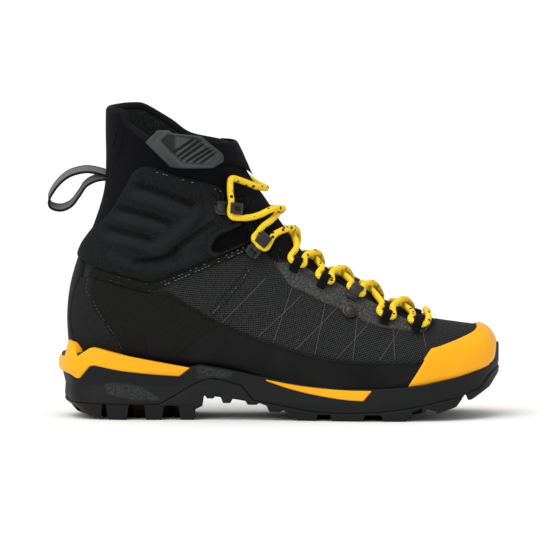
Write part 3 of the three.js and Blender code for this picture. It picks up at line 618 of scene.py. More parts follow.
EYESTAY = [(72, 156.5, 1), (86, 152.5, 1), (88.5, 143), (95, 131.8), (107.5, 118.2), (118, 110), (134, 99.7),
           (150, 92.5), (169.6, 82), (190, 71.5), (211, 64.6, 1), (207.5, 61, 1), (191, 62.5), (185, 63.5),
           (167.5, 67.5), (160, 72.5), (150, 77), (137, 82), (125, 88.5), (115.5, 92), (107.5, 102),
           (97.5, 116), (91.3, 123.5), (84.7, 132.7), (72, 146.5, 1)]
TONGUE_EDGE = [(60, 215), (66, 190), (70, 173), (76, 158), (86, 141), (101, 117.5), (112, 104.5), (132, 91.5),
               (150, 82.5), (170, 73), (190, 65.5), (203, 63), (214, 66), (216, 80)]
OUTER_RIM = [(-30, 213.5), (-14, 213.8), (-3, 214), (-1, 210), (0.5, 205), (9, 199.5), (17, 195), (30, 190.5),
             (45, 190.5), (53, 192.5), (74, 190.5), (95, 190)]
INNER_RIM = [(-30, 213.5), (-14, 213.8), (-3, 214.5), (6, 214.5), (12, 213.5), (30, 203.5), (46, 193.5),
             (74, 190.5), (95, 190)]
COLLAR_SEAM = [(-60, 114), (-20, 114), (20, 108), (60, 114), (130, 118)]
FLAP = [(22, 186.5, 1), (32, 195.8, 1), (46.5, 195), (52.5, 194.3), (66, 191.2), (90, 190, 1), (101, 168, 1),
        (99.5, 159.5, 1), (90.7, 163.3), (86, 168.6), (79.2, 173.5), (66.7, 177), (59, 174.3), (35, 175.3, 1)]
TAB = [(15.5, 192.5, 1), (23.5, 200.8, 1), (31, 200.8, 1), (33, 198.8, 1), (47, 196.9), (52.2, 196, 1),
       (66, 182.4, 1), (66, 178.3, 1), (59.2, 174.5, 1), (39, 174.4), (32, 175.3, 1)]
BACKSTAY = [(-60, 46, 1), (-60, 117, 1), (-31.5, 118, 1), (-28, 104), (-34.5, 83), (-36, 72), (-35, 61),
            (-31, 46, 1)]


TUCK = 4                                  # how far the upper's pieces reach below the sole's edge


class Upper:
    """Everything cut from the boot's reference surface."""

    def __init__(self):
        self.grid = Grid.whole()
        middle = self.grid.middle
        self.columns = {INNER: (0, middle), OUTER: (middle, 2 * middle), None: None}
        self.tongue = self.edge([*TONGUE_EDGE, (216, 140), (120, 230), (60, 240)], smooth=False)
        self.rim = self.above_rim()
        x, z = self.grid.places[..., 0], self.grid.places[..., 1]
        self.floor = along_table(FEATHER, x) - TUCK - z

    def edge(self, outline, smooth=True):
        shape = curve(outline) if smooth else np.array(outline, float)
        return distance_to_outline(self.grid.places, shape)

    def above_rim(self):
        """Signed distance to the collar's top edge, each side with its own; negative below it."""
        edges = []
        for rim in (INNER_RIM, OUTER_RIM):
            edges.append(-self.edge([*smooth_line(rim, 6), (95, 300), (-30, 300)], smooth=False))
        on_inner = np.arange(self.grid.places.shape[1])[None] < self.grid.middle
        return np.where(on_inner, *edges)


ROLLED_RIM = (0.25, 0.7, 1.4)             # extra rows of points this far in, for an edge that rolls down


def panel(name, grid, edge, height, material, columns=None):
    """A sheet lying on a grid inside an edge, raised by a height that depends on the place."""
    patch = cut_patch(grid, edge, columns, ROLLED_RIM)
    lift = height(patch)
    return make_object(name, patch.points + patch.normals * lift[:, None], patch.faces, material, patch.uv)


def side_label(side):
    return "outer" if side == OUTER else "inner"


# ------------------------------------------------------------------ single places on the surface
def split_section(index):
    section = smooth_at(SECTION_VALUES, np.clip(index, 0, LAST_SECTION))
    return section[..., 0:2], section[..., 2:4], section[..., 6:9]


def find_on_surface(places, side):
    """Section number and turn of side-view places on one side of the boot."""
    places = np.atleast_2d(np.asarray(places, float))
    rough_index, rough_mix = np.meshgrid(np.arange(0, LAST_SECTION + 0.01, 0.25), np.linspace(0, 1, 21))
    rough_index, rough_mix = rough_index.ravel(), rough_mix.ravel()
    top, low, _ = split_section(rough_index)
    table = low + (top - low) * rough_mix[:, None]
    gaps = np.linalg.norm(places[:, None] - table[None], axis=2)
    best = gaps.argmin(axis=1)
    state = np.stack([rough_index[best], rough_mix[best]], axis=1)

    def flat(values):
        top, low, _ = split_section(values[:, 0])
        return low + (top - low) * values[:, 1:2]

    for _ in range(12):
        miss = places - flat(state)
        slopes = [(flat(state + step) - flat(state - step)) / 2e-3
                  for step in (np.array([1e-3, 0]), np.array([0, 1e-3]))]
        (a, c), (b, d) = slopes[0].T, slopes[1].T
        area = a * d - b * c
        move = np.stack([d * miss[:, 0] - b * miss[:, 1], a * miss[:, 1] - c * miss[:, 0]], axis=1)
        move = move / np.where(np.abs(area) < 1e-6, 1e-6, area)[:, None]
        state = state + np.clip(move, -0.4, 0.4)
        state = np.stack([np.clip(state[:, 0], 0, LAST_SECTION), np.clip(state[:, 1], 0, 1)], axis=1)
    index, height = state[:, 0], 2 * state[:, 1] - 1
    widest, square_top, square_low = split_section(index)[2].T
    above = np.clip((height - widest) / (1 - widest), 0, 1) ** (square_top / 2)
    below = -np.clip((widest - height) / (1 + widest), 0, 1) ** (square_low / 2)
    turn = np.arccos(np.where(height > widest, above, below)) / (2 * np.pi)
    return index, turn * (1 if side == OUTER else -1)


def lay(places, side, lift):
    """Side-view places put on the boot, raised by a lift."""
    index, turn = find_on_surface(places, side)
    lift = np.broadcast_to(np.asarray(lift, float), index.shape)
    return surface(index, turn) + surface_normal(index, turn) * lift[:, None]


# ------------------------------------------------------------------ tubes, threads and stitches
class Parts:
    """Points, faces and uv of several small shapes, to become one piece."""

    def __init__(self):
        self.points, self.uv, self.faces, self.count = [], [], [], 0

    def add(self, points, faces, uv=None):
        points = np.asarray(points, float)
        self.points.append(points)
        self.uv.append(np.zeros((len(points), 2)) if uv is None else np.asarray(uv, float))
        self.faces += [[v + self.count for v in face] for face in faces]
        self.count += len(points)

    def build(self, name, material, smooth=True):
        points, uv = np.concatenate(self.points), np.concatenate(self.uv)
        return make_object(name, points, self.faces, material, uv, smooth)


def ring_faces(rings, count, closed=False):
    """Faces that join rings of points one after another, with ends unless they close on themselves."""
    faces = []
    for r in range(rings if closed else rings - 1):
        below, above = r * count, (r + 1) % rings * count
        for k in range(count):
            n = (k + 1) % count
            faces.append([below + k, above + k, above + n, below + n])
    if not closed:
        last = (rings - 1) * count
        faces += [list(range(count)), [last + k for k in range(count)][::-1]]
    return faces


def frames(path, closed):
    """Across and up at each point of a path, turning as little as they can."""
    if closed:
        along = np.roll(path, -1, axis=0) - np.roll(path, 1, axis=0)
    else:
        along = np.gradient(path, axis=0)
    along = unit(along)
    up = np.array([0, 0, 1.0])
    ups = []
    for direction in along:
        up = up - direction * (up @ direction)
        if np.linalg.norm(up) < 1e-6:
            up = np.cross(direction, (1, 0, 0))
        up = up / np.linalg.norm(up)
        ups.append(up)
    ups = np.array(ups)
    return np.cross(along, ups), ups


def tube(parts, path, radius, side_count=8, closed=False, squash=1.0):
    """A tube along a path; radius may change along it, and squash flattens it along its up."""
    path = np.asarray(path, float)
    across, up = frames(path, closed)
    radius = np.broadcast_to(np.asarray(radius, float), (len(path),))
    angle = np.linspace(0, 2 * np.pi, side_count, endpoint=False)
    ring = (across[:, None] * np.cos(angle)[None, :, None]
            + up[:, None] * np.sin(angle)[None, :, None] * squash) * radius[:, None, None]
    points = (path[:, None] + ring).reshape(-1, 3)
    run = arc_length(path, 0)
    u = np.repeat(run, side_count)
    v = np.tile(angle, len(path)) * np.repeat(radius, side_count)
    parts.add(points, ring_faces(len(path), side_count, closed), np.stack([u, v], axis=1))


def ribbon(parts, path, across, width, thickness):
    """A flat band with soft edges along a path: across is its width's direction at each point."""
    up = np.cross(unit(np.gradient(path, axis=0)), across)
    half, deep, soft = width / 2, thickness / 2, 0.3
    top = [(y, deep) for y in (-half + soft, -half / 2, 0, half / 2, half - soft)]
    profile = np.array([(-half, 0), *top, (half, 0), *((y, -z) for y, z in top[::-1])])
    count = len(profile)
    points = (path[:, None] + across[:, None] * profile[None, :, 0:1]
              + up[:, None] * profile[None, :, 1:2]).reshape(-1, 3)
    run = arc_length(path, 0)
    uv = np.stack([np.repeat(run, count), np.tile(profile[:, 0], len(path))], axis=1)
    parts.add(points, ring_faces(len(path), count), uv)


def resampled(path, step):
    path = np.asarray(path, float)
    run = arc_length(path, 0)
    wanted = np.linspace(0, run[-1], max(2, int(round(run[-1] / step)) + 1))
    return np.stack([np.interp(wanted, run, path[:, k]) for k in range(path.shape[1])], axis=1)


def stitches(parts, places, side, lift, length, rng, kept, gap=0.9, radius=0.27):
    """A line of sewing stitches along side-view places, some of them sunk out of sight."""
    fine = resampled(smooth_line(places), 0.25)
    points = lay(fine, side, lift)
    run = arc_length(points, 0)
    start = gap
    while start + length < run[-1]:
        if rng.random() < kept:
            wanted = start + length * np.array([0, 0.12, 0.5, 0.88, 1])
            path = np.stack([np.interp(wanted, run, points[:, k]) for k in range(3)], axis=1)
            tube(parts, path, radius * np.array([0.3, 0.9, 1, 0.9, 0.3]), 5)
        start += length + gap


# ------------------------------------------------------------------ upper: shell, tongue, collar, trims
SHELL, UNDER = -0.9, -1.4              # height of the woven shell, and of edges tucked under a panel
UNDER_RIM = 1.5                        # gap left below the collar's top edge for its binding
LINING_DEPTH = 6.0                     # from the boot's surface in to the lining


def raised(top, radius):
    """Height of a panel: its top, with edges that roll down into what lies under it."""
    return lambda patch: UNDER + (top - UNDER) * rounded(patch.edge, radius)


def ripple(patch, scale, size, seed):
    """Slow unevenness of soft fabric."""
    x, y, z = (patch.points / scale).T
    return size * (np.sin(x * 1.3 + seed) * np.sin(y * 1.1 + 2.1 * seed)
                   + 0.6 * np.sin(x * 0.7 - z * 1.9 + seed * 3.3))


def make_shell(upper, skins):
    grid = upper.grid
    collar = upper.edge([*COLLAR_SEAM, (130, 300), (-60, 300)], smooth=False)
    shell_edge = np.maximum.reduce([-upper.tongue, -collar, upper.floor])
    shell = panel("shell", grid, shell_edge,
                  lambda p: SHELL + ripple(p, 14, 0.18, 1) - 1.2 * (1 - rounded(p.edge, 1.6)),
                  skins["woven"])
    finish_piece(shell, BOOT, ["upper_shell"])

    def tongue_height(p):
        padding = 1.5 * rounded(p.edge, 9)
        return -2.4 + padding + ripple(p, 9, 0.2, 4)

    tongue_edge = np.maximum.reduce([upper.tongue - 2.5, upper.rim + UNDER_RIM, upper.floor])
    tongue = panel("tongue_padding", grid, tongue_edge, tongue_height, skins["tongue"])
    finish_piece(tongue, BOOT, ["tongue"])

    collar_edge = np.maximum.reduce([collar, -upper.tongue, upper.rim + UNDER_RIM])
    piece = panel("collar", grid, collar_edge, lambda p: SHELL + ripple(p, 22, 0.35, 2), skins["softshell"])
    finish_piece(piece, BOOT, ["softshell_collar"])

    inside = np.maximum.reduce([upper.rim + 2, upper.floor + 2])
    patch = cut_patch(grid, inside)
    patch.faces = [face[::-1] for face in patch.faces]
    points = patch.points - LINING_DEPTH * patch.normals
    lining = make_object("lining", points, patch.faces, skins["lining"], patch.uv)
    finish_piece(lining, BOOT, ["inner_lining"])


def make_rim(skins):
    """Rolled binding round the collar's top edge."""
    front, back = 75.5, -14.2
    loop = []
    for rim, side, order in ((OUTER_RIM, OUTER, -1), (INNER_RIM, INNER, 1)):
        places = resampled(smooth_line(rim), 1.2)[::order]
        places = places[(places[:, 0] > back) & (places[:, 0] < front)]
        index, turn = find_on_surface(places - [0, 2.2], side)
        loop.append(surface(index, turn) - 3.5 * surface_normal(index, turn))
    path = resampled(np.concatenate([*loop, loop[0][:1]]), 1.2)[:-1]
    for _ in range(6):
        path = (np.roll(path, 1, axis=0) + 2 * path + np.roll(path, -1, axis=0)) / 4
    parts = Parts()
    tube(parts, path, 3.1, 12, closed=True, squash=0.95)
    finish_piece(parts.build("collar_binding", skins["softshell_dark"]), BOOT, [])


PALE_STAY_TOP = 106                       # height at which the heather eyestay turns dark


def make_trims(upper, skins):
    outlines = {"cap": CAP, "rand": RAND, "counter": COUNTER, "overlay": HEEL_OVERLAY,
                "band": ANKLE_BAND, "backstay": BACKSTAY, "eyestay": EYESTAY, "cuff": CUFF}
    edges = {name: upper.edge(outline) for name, outline in outlines.items()}
    floor = upper.floor

    def trim(name, node, limits, top, radius, skin, side=None):
        """A panel inside all its limits, on one side of the boot or on both."""
        piece = panel(name, upper.grid, np.maximum.reduce(limits), raised(top, radius), skins[skin],
                      upper.columns[side])
        if skin == "eyestay":
            mark(piece, "relief", -np.clip((positions(piece)[2] - PALE_STAY_TOP) / 5, 0, 1))
        finish_piece(piece, BOOT, [node])

    trim("toe_guard", "toe_cap", [edges["cap"], floor], 1.5, 1.8, "yellow")
    trim("counter_panel", "heel_counter", [edges["counter"], floor], 0.4, 1.0, "counter")
    trim("backstay_strip", "backstay", [edges["backstay"], floor], 1.2, 1.6, "rand")
    for side in (OUTER, INNER):
        label = side_label(side)
        trim(f"rand_rubber_{label}", f"rand_{label}", [edges["rand"], floor, -edges["cap"] - 2],
             0.9, 1.3, "rand", side)
        trim(f"heel_panel_{label}", f"heel_overlay_{label}", [edges["overlay"], -edges["rand"] - 1, floor],
             0.35, 1.0, "heel", side)
        trim(f"ankle_strip_{label}", f"ankle_band_{label}", [edges["band"], -edges["backstay"] - 1],
             0.8, 1.2, "heel", side)
        trim(f"eyestay_band_{label}", f"eyestay_{label}",
             [edges["eyestay"], -edges["cuff"] - 1, -edges["band"] - 1],
             0.5, 1.2, "eyestay", side)


# ------------------------------------------------------------------ padded ankle cuffs
SLOT_FLOOR = -1.0                         # height of the bottom of the slot in the cuff
SLOT = [(60.2, 119.6), (64.4, 126.6), (72, 130.2), (84, 134), (89.5, 125.5), (82, 121.9), (68.5, 116.4),
        (62, 116.4)]
CUFF_RIDGES = [                        # lines, with half width and height of the padded ridge
    ([(8.5, 155.4), (24, 151.8), (41, 145)], 5.2, 1.9), ([(-4, 140.4), (13, 137), (27, 133)], 5, 1.7),
    ([(-10, 126.3), (5, 123.7), (18, 120)], 5.2, 1.8), ([(50, 144.5), (40, 133.5), (22.6, 119)], 6.5, 1.6),
    ([(62, 146), (56, 132), (44, 118)], 8, 1.0), ([(-8, 113), (14, 106), (30, 106), (52, 114)], 5, 0.9),
]
CUFF_VALLEYS = [                       # lines, with half width and depth
    ([(10, 162.5), (26, 158), (47, 149.5)], 3.6, 1.2), ([(-2, 146.2), (13.8, 142.6), (30, 137.8)], 3.2, 1.2),
    ([(-10, 132.2), (5, 129), (17, 126)], 3.2, 1.1),
    ([(60.4, 136), (43.7, 124.6), (28.7, 113.5), (8, 110)], 3, 1.5),
]


def local_grid(outline, side, step):
    """An even patch of the surface that holds an outline."""
    index, turn = find_on_surface(np.array([p[:2] for p in outline], float), side)
    turn = np.abs(turn)
    low, high = max(0.0, turn.min() - 0.02), min(0.5, turn.max() + 0.02)
    ends = (low, high) if side == OUTER else (-high, -low)
    index_range = max(0.0, index.min() - 0.4), min(float(LAST_SECTION), index.max() + 0.4)
    return Grid.local(index_range, ends, step)


def hump(distance, half_width):
    return np.clip(1 - (distance / half_width) ** 2, 0, None) ** 1.5


def cuff_relief(places, slot, edge):
    """Height of the embossing above the pad's plain surface."""
    x, z = places.T
    relief = 1.3 * hump(slot - 1.8, 1.8)
    for sign, lines in ((1, CUFF_RIDGES), (-1, CUFF_VALLEYS)):
        for line, half_width, rise in lines:
            relief = relief + sign * rise * hump(distance_to_line(places, smooth_line(line)), half_width)
    front = np.clip((x - 58) / 8, 0, 1) * np.clip((z - 136) / 6, 0, 1)
    for line in (3.2, 6.2, 9.2):
        relief = relief - 1.2 * front * hump(edge + line, 1.1)
    return relief


def cuff_height(patch):
    places = patch.side_view
    slot = distance_to_outline(places, curve(SLOT))
    height = 1.7 + 1.1 * rounded(patch.edge, 7) + cuff_relief(places, slot, patch.edge)
    height = height + ripple(patch, 9, 0.12, 5)
    inset = np.clip(-slot, 0, 1)
    height = height * (1 - inset) + SLOT_FLOOR * inset
    return UNDER + (height - UNDER) * rounded(patch.edge, 2.4)


def make_cuffs(skins):
    for side in (OUTER, INNER):
        label = side_label(side)
        grid = local_grid(CUFF, side, 0.7)
        edge = distance_to_outline(grid.places, curve(CUFF))
        cuff = panel(f"padded_cuff_{label}", grid, edge, cuff_height, skins["cuff"])
        places = side_places(cuff)
        slot = distance_to_outline(places, curve(SLOT))
        relief = cuff_relief(places, slot, distance_to_outline(places, curve(CUFF)))
        # relief value for the shader: painted highlight on the ridges, painted shade in the valleys and,
        # darker still, in the sunk slot
        mark(cuff, "relief", np.clip(relief / 1.6, -1, 1) - 1.5 * (slot < 0))
        finish_piece(cuff, BOOT, [f"ankle_cuff_{label}"])


# ------------------------------------------------------------------ cuff flap and pull tab
FOLD_Y = 4                                # where the flap's sewn base ends and the flap begins
FLAP_BACK, TAB_BACK = 0.9, 3.0            # heights of the backs of the flap and of the tab
TAB_PANEL = [(25.4, 193.6, 1), (30, 198.2, 1), (50.4, 195.4, 1), (63.6, 181.8, 1), (58.4, 176.6, 1),
             (40.6, 178, 1)]
TAB_GROOVES = [((35, 185.9), (46.9, 194.2)), ((37.6, 183.2), (51.1, 193.2)), ((39.8, 181.1), (53.2, 190.6)),
               ((43.4, 179.5), (56.9, 187.9)), ((48.1, 179), (59, 185.9)), ((52.8, 178.5), (61, 183.7))]


def slab(name, grid, edge, top, bottom, material):
    """A sheet with a back of its own, closed where the two meet at the edge."""
    patch = cut_patch(grid, edge, None, ROLLED_RIM)
    parts = Parts()
    for lift, flip in ((top(patch), False), (np.full(len(patch.edge), bottom), True)):
        faces = [face[::-1] if flip else face for face in patch.faces]
        parts.add(patch.points + patch.normals * lift[:, None], faces, patch.uv)
    return parts.build(name, material)


def tab_relief(places, inner):
    """Raised border, sunk panel and slanting grip grooves of the tab; inner: distance to the panel."""
    relief = 0.5 * hump(inner - 1.4, 1.2) - 1.0 * np.clip(-inner / 0.6, 0, 1)
    ribs = np.clip((places[:, 0] - 33) / 4, 0, 1) * np.clip(-inner / 1.2, 0, 1)
    relief = relief + 1.2 * ribs
    for start, end in TAB_GROOVES:
        relief = relief - 1.6 * hump(distance_to_line(places, [start, end]), 1.05)
    return relief


def make_flap(skins):
    spread = Grid.local((15.4, 22.2), (-0.11, 0.3), 0.9)
    places = spread.places
    edge = distance_to_outline(places, curve(FLAP))
    fold = spread.points[..., 1] - FOLD_Y        # distance past the fold, negative on the outer side

    def flap_top(patch):
        height = 1.6 * rounded(patch.edge, 1.6) + 0.35 * hump(-patch.edge - 2.6, 1.6)
        thin = np.clip((patch.side_view[:, 0] - 76) / 14, 0, 1)
        return FLAP_BACK + height * (1 - 0.75 * thin) + ripple(patch, 16, 0.15, 3) * (1 - thin)

    flap = slab("flap_fabric", spread, np.maximum(edge, fold), flap_top, FLAP_BACK, skins["softshell"])
    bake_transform(flap)
    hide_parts("cuff_flap")
    front = (62 - places[..., 0]) * 0.9
    below_rim = places[..., 1] - 190.5
    base_edge = np.maximum.reduce([edge, -fold + 0.4, front, below_rim])
    base = slab("flap_root", spread, base_edge, flap_top, FLAP_BACK, skins["softshell"])
    finish_piece(base, BOOT, ["flap_base"])

    grid = local_grid(TAB, OUTER, 0.45)
    recess = curve(TAB_PANEL)

    def tab_top(patch):
        places = patch.side_view
        inner = distance_to_outline(places, recess)
        along_lip = distance_to_line(places, [(16.5, 193), (34, 177), (45, 175.8)])
        height = 5.0 + 1.3 * hump(along_lip - 2.2, 4.5) + tab_relief(places, inner)
        return TAB_BACK + (height - TAB_BACK) * rounded(patch.edge, 1.3)

    edge = distance_to_outline(grid.places, curve(TAB))
    tab = slab("pull_tab_grip", grid, edge, tab_top, TAB_BACK, skins["tab"])
    places = side_places(tab)
    # relief value for the shader: painted highlight on the raised border and ribs, painted shade in the sunk
    # panel and the grip grooves
    mark(tab, "relief", np.clip(tab_relief(places, distance_to_outline(places, recess)), -1, 1))
    finish_piece(tab, FLAP_BODY, ["pull_tab"])


# ------------------------------------------------------------------ heel pull loop
LOOP_LINE = [(-12, 168), (-20.5, 170.3), (-28, 170.8), (-38, 168), (-46, 161.5), (-51.6, 152.5),
             (-50.8, 146.3), (-44, 144.3), (-37, 147.2), (-31.5, 154), (-26.5, 161), (-19.5, 164.8),
             (-12, 165.8)]
LOOP_WIDTH, LOOP_THICKNESS = 9.6, 1.5
LOOP_BORDER = 3.6                         # from the webbing's middle out to its dark edge
LOOP_TILT = 26                            # degrees that the loop's width leans from sideways


def make_loop(skins):
    flat = resampled(smooth_line(LOOP_LINE), 0.8)
    path = np.stack([flat[:, 0], np.zeros(len(flat)), flat[:, 1]], axis=1)
    along = unit(np.gradient(path, axis=0))
    tilt = math.radians(LOOP_TILT)
    sideways = np.array([0, -math.cos(tilt), -math.sin(tilt)])
    across = unit(sideways - along * (along @ sideways)[:, None])
    parts = Parts()
    ribbon(parts, path, across, LOOP_WIDTH, LOOP_THICKNESS)
    finish_piece(parts.build("heel_loop_webbing", skins["webbing"]), LOOP, ["heel_pull_loop"])


# ------------------------------------------------------------------ lace hardware
HARDWARE = [                          # name, side-view place, the way it points, kind
    ("hook_top", (70, 145.5), (-1, 0.05), "cuff hook"),
    ("hook_lock", (91.5, 119.3), (-0.65, -0.75), "hook"),
    ("lace_loop_1", (117.4, 106.5), (0.45, 0.9), "bridge"),
    ("lace_loop_2", (137, 94.5), (0.45, 0.9), "bridge"),
    ("eyelet", (158.4, 85.5), (0.5, 0.87), "eyelet"),
    ("lace_loop_3", (179.2, 70.2), (0.35, 0.94), "bridge"),
    ("lace_loop_4", (201, 64), (0.3, 0.95), "bridge"),
]
PASS_HEIGHT = {"cuff hook": 4.0, "hook": 4.0, "bridge": 3.1, "eyelet": 3.1}     # of the lace, in each kind
PASS_REACH = 5.0                          # from a piece of hardware's middle to where the lace leaves it
ON_TRIM, ON_PAD = 1.1, 3.3                # heights of the surfaces that hardware sits on
LACE_RADIUS = 2.25


def base_height(kind):
    return ON_PAD if kind == "cuff hook" else ON_TRIM


def seat(place, side, offset, toward):
    """Where a piece of hardware sits: columns are forward, across, outward and its point."""
    index, turn = find_on_surface([place], side)
    base = offset_point(index, turn, offset)[0]
    normal = unit(offset_point(index, turn, offset + 1)[0] - base)
    wanted = np.array([toward[0], 0, toward[1]])
    forward = unit(wanted - normal * (wanted @ normal))
    return np.column_stack([forward, np.cross(normal, forward), normal, base]), index[0], turn[0]


def put(points, frame_matrix):
    return np.asarray(points) @ frame_matrix[:, :3].T + frame_matrix[:, 3]


def prism_faces(count):
    """Sides and ends of a prism, its first ring of points followed by its second."""
    sides = [[k, (k + 1) % count, count + (k + 1) % count, count + k] for k in range(count)]
    return [*sides, list(range(count))[::-1], [count + k for k in range(count)]]


def extrude(profile, width, at=0.0):
    """A closed profile (forward, outward) swept across: points and faces."""
    points = [(x, at + y, z) for y in (-width / 2, width / 2) for x, z in profile]
    return np.array(points, float), prism_faces(len(profile))


def band(line, thickness):
    """A closed profile round a line of points, of an even thickness."""
    line = np.asarray(line, float)
    along = unit(np.gradient(line, axis=0))
    side = np.stack([-along[:, 1], along[:, 0]], axis=1) * thickness / 2
    return np.concatenate([line + side, (line - side)[::-1]])


def dome(radius, height, forward=0.0, lift=0.0, sides=20, rings=5):
    """A rivet head: points and faces."""
    points, faces = [], []
    for r in range(rings + 1):
        angle = math.pi / 2 * r / rings
        for k in range(sides):
            turn = 2 * math.pi * k / sides
            reach = radius * math.cos(angle) ** 0.8
            points.append((forward + reach * math.cos(turn), reach * math.sin(turn),
                           lift + height * math.sin(angle)))
    for r in range(rings):
        for k in range(sides):
            n = (k + 1) % sides
            faces.append([r * sides + k, r * sides + n, (r + 1) * sides + n, (r + 1) * sides + k])
    faces.append([rings * sides + k for k in range(sides)])
    return np.array(points), faces


def plate(length, width, thickness, lift, corner):
    """A flat plate with round corners: points and faces."""
    outline = []
    for sx, sy, start in ((1, 1, 0), (-1, 1, 90), (-1, -1, 180), (1, -1, 270)):
        for step in range(5):
            turn = math.radians(start + 22.5 * step)
            outline.append((sx * (length / 2 - corner) + corner * math.cos(turn),
                            sy * (width / 2 - corner) + corner * math.sin(turn)))
    points = [(x, y, z) for z in (lift, lift + thickness) for x, y in outline]
    return np.array(points), prism_faces(len(outline))


def bevelled(piece, width_mm):
    """The piece with its sharp edges rounded, the bevel applied."""
    modifier = piece.modifiers.new("bevel", "BEVEL")
    modifier.width, modifier.segments = width_mm * MM, 2
    modifier.limit_method, modifier.angle_limit = "ANGLE", math.radians(35)
    bpy.context.view_layer.update()
    mesh = bpy.data.meshes.new_from_object(piece.evaluated_get(bpy.context.evaluated_depsgraph_get()))
    piece.modifiers.clear()
    piece.data = mesh
    for face in mesh.polygons:
        face.use_smooth = True
    mesh.set_sharp_from_angle(angle=math.radians(50))
    return piece


def hook_shapes():
    """An open lace hook on its riveted plate; two bars leave the gap of its eye between them."""
    arm = [(0.5, 1.2), (-4, 1.2), (-6.6, 1.5), (-8.4, 2.4), (-9.0, 4.0), (-8.5, 5.8), (-6.6, 7.1)]
    bar = [(-7.2, 6.9), (-4, 7.4), (-1, 7.4)]
    tip = [(-2.2, 7.4), (0, 7.4), (1, 7.7)]
    return [plate(20, 9.6, 1.5, lift=-0.3, corner=3.2), dome(3.4, 2.2, forward=5.6, lift=1.0),
            extrude(band(arm, 1.1), 7.6), extrude(band(bar, 1.1), 2, at=-2.8),
            extrude(band(bar, 1.1), 2, at=2.8), extrude(band(tip, 1.1), 7.6)]


def lock_shapes():
    """A locking lace hook: a folded arm, a toothed jaw under it and a broad foot."""
    arm = [(0.4, 1.3), (-4, 1.4), (-7, 2), (-8.8, 3.4), (-8.9, 5.4), (-7.8, 6.9), (-5, 7.5), (1, 7.5)]
    jaw = [(1.8, 0.9), (9.4, 0.9), (9.9, 3), (8.4, 4.6), (2.4, 5.6)]
    middle = [(2, 0.9), (5.4, 0.9), (5.0, 3), (2, 4.4)]
    return [plate(19, 8.4, 1.4, lift=-0.3, corner=2), extrude(band(arm, 1.3), 9),
            extrude(jaw, 2, at=-3.7), extrude(jaw, 2, at=3.7), extrude(middle, 6)]


def eyelet_shapes():
    """A folded metal plate over the lace, with a small stud."""
    line = [(-7, 0.5), (-4.6, 0.9), (-4.1, 3), (-3.4, 5.6), (-1.6, 6.5), (2, 6.5), (3.8, 5.8), (4.3, 3),
            (4.8, 0.9), (6.4, 0.5)]
    return [extrude(band(smooth_line(line, 3), 1.1), 8),
            dome(1.1, 0.5, forward=0.4, lift=7.0, sides=14, rings=3)]


def rivet_shapes():
    return [plate(10.4, 10.4, 1.0, lift=-0.6, corner=5.1), dome(4.1, 2.4, lift=0.3)]


def add_bridge(parts, matrix):
    """A webbing keeper that the lace runs through."""
    line = [(-7.2, 0.5), (-5, 0.8), (-3.9, 2.2), (-3.3, 4.6), (-1.6, 6.2), (0, 6.5), (1.6, 6.2), (3.3, 4.6),
            (3.9, 2.2), (5, 0.8), (7.2, 0.5)]
    flat = resampled(smooth_line(line, 4), 0.7)
    path = put(np.stack([flat[:, 0], np.zeros(len(flat)), flat[:, 1]], axis=1), matrix)
    ribbon(parts, path, np.broadcast_to(matrix[:, 1], path.shape), 6.4, 1.1)


METAL_SHAPES = {"cuff hook": hook_shapes, "hook": lock_shapes, "eyelet": eyelet_shapes}
RIVET_OFFSET = (-3, -10.5)                # side view, from the eyelet to its rivet


def metal_piece(name, shapes, matrix, bevel, material):
    parts = Parts()
    for points, faces in shapes:
        parts.add(put(points, matrix), faces)
    return bevelled(parts.build(name, material, smooth=False), bevel)


def make_hardware(skins):
    for side in (OUTER, INNER):
        label = side_label(side)
        for name, place, toward, kind in HARDWARE:
            matrix = seat(place, side, base_height(kind), toward)[0]
            if kind == "bridge":
                parts = Parts()
                add_bridge(parts, matrix)
                piece = parts.build(f"{name}_webbing_{label}", skins["keeper"])
                finish_piece(piece, BOOT, [f"{name}_{label}"])
                continue
            piece = metal_piece(f"{name}_metal_{label}", METAL_SHAPES[kind](), matrix, 0.35, skins["metal"])
            finish_piece(piece, BOOT, [f"{name}_{label}"])
            if kind == "eyelet":
                matrix = seat(np.add(place, RIVET_OFFSET), side, ON_TRIM, toward)[0]
                piece = metal_piece(f"eyelet_stud_{label}", rivet_shapes(), matrix, 0.25, skins["metal"])
                finish_piece(piece, BOOT, [f"eyelet_rivet_{label}"])


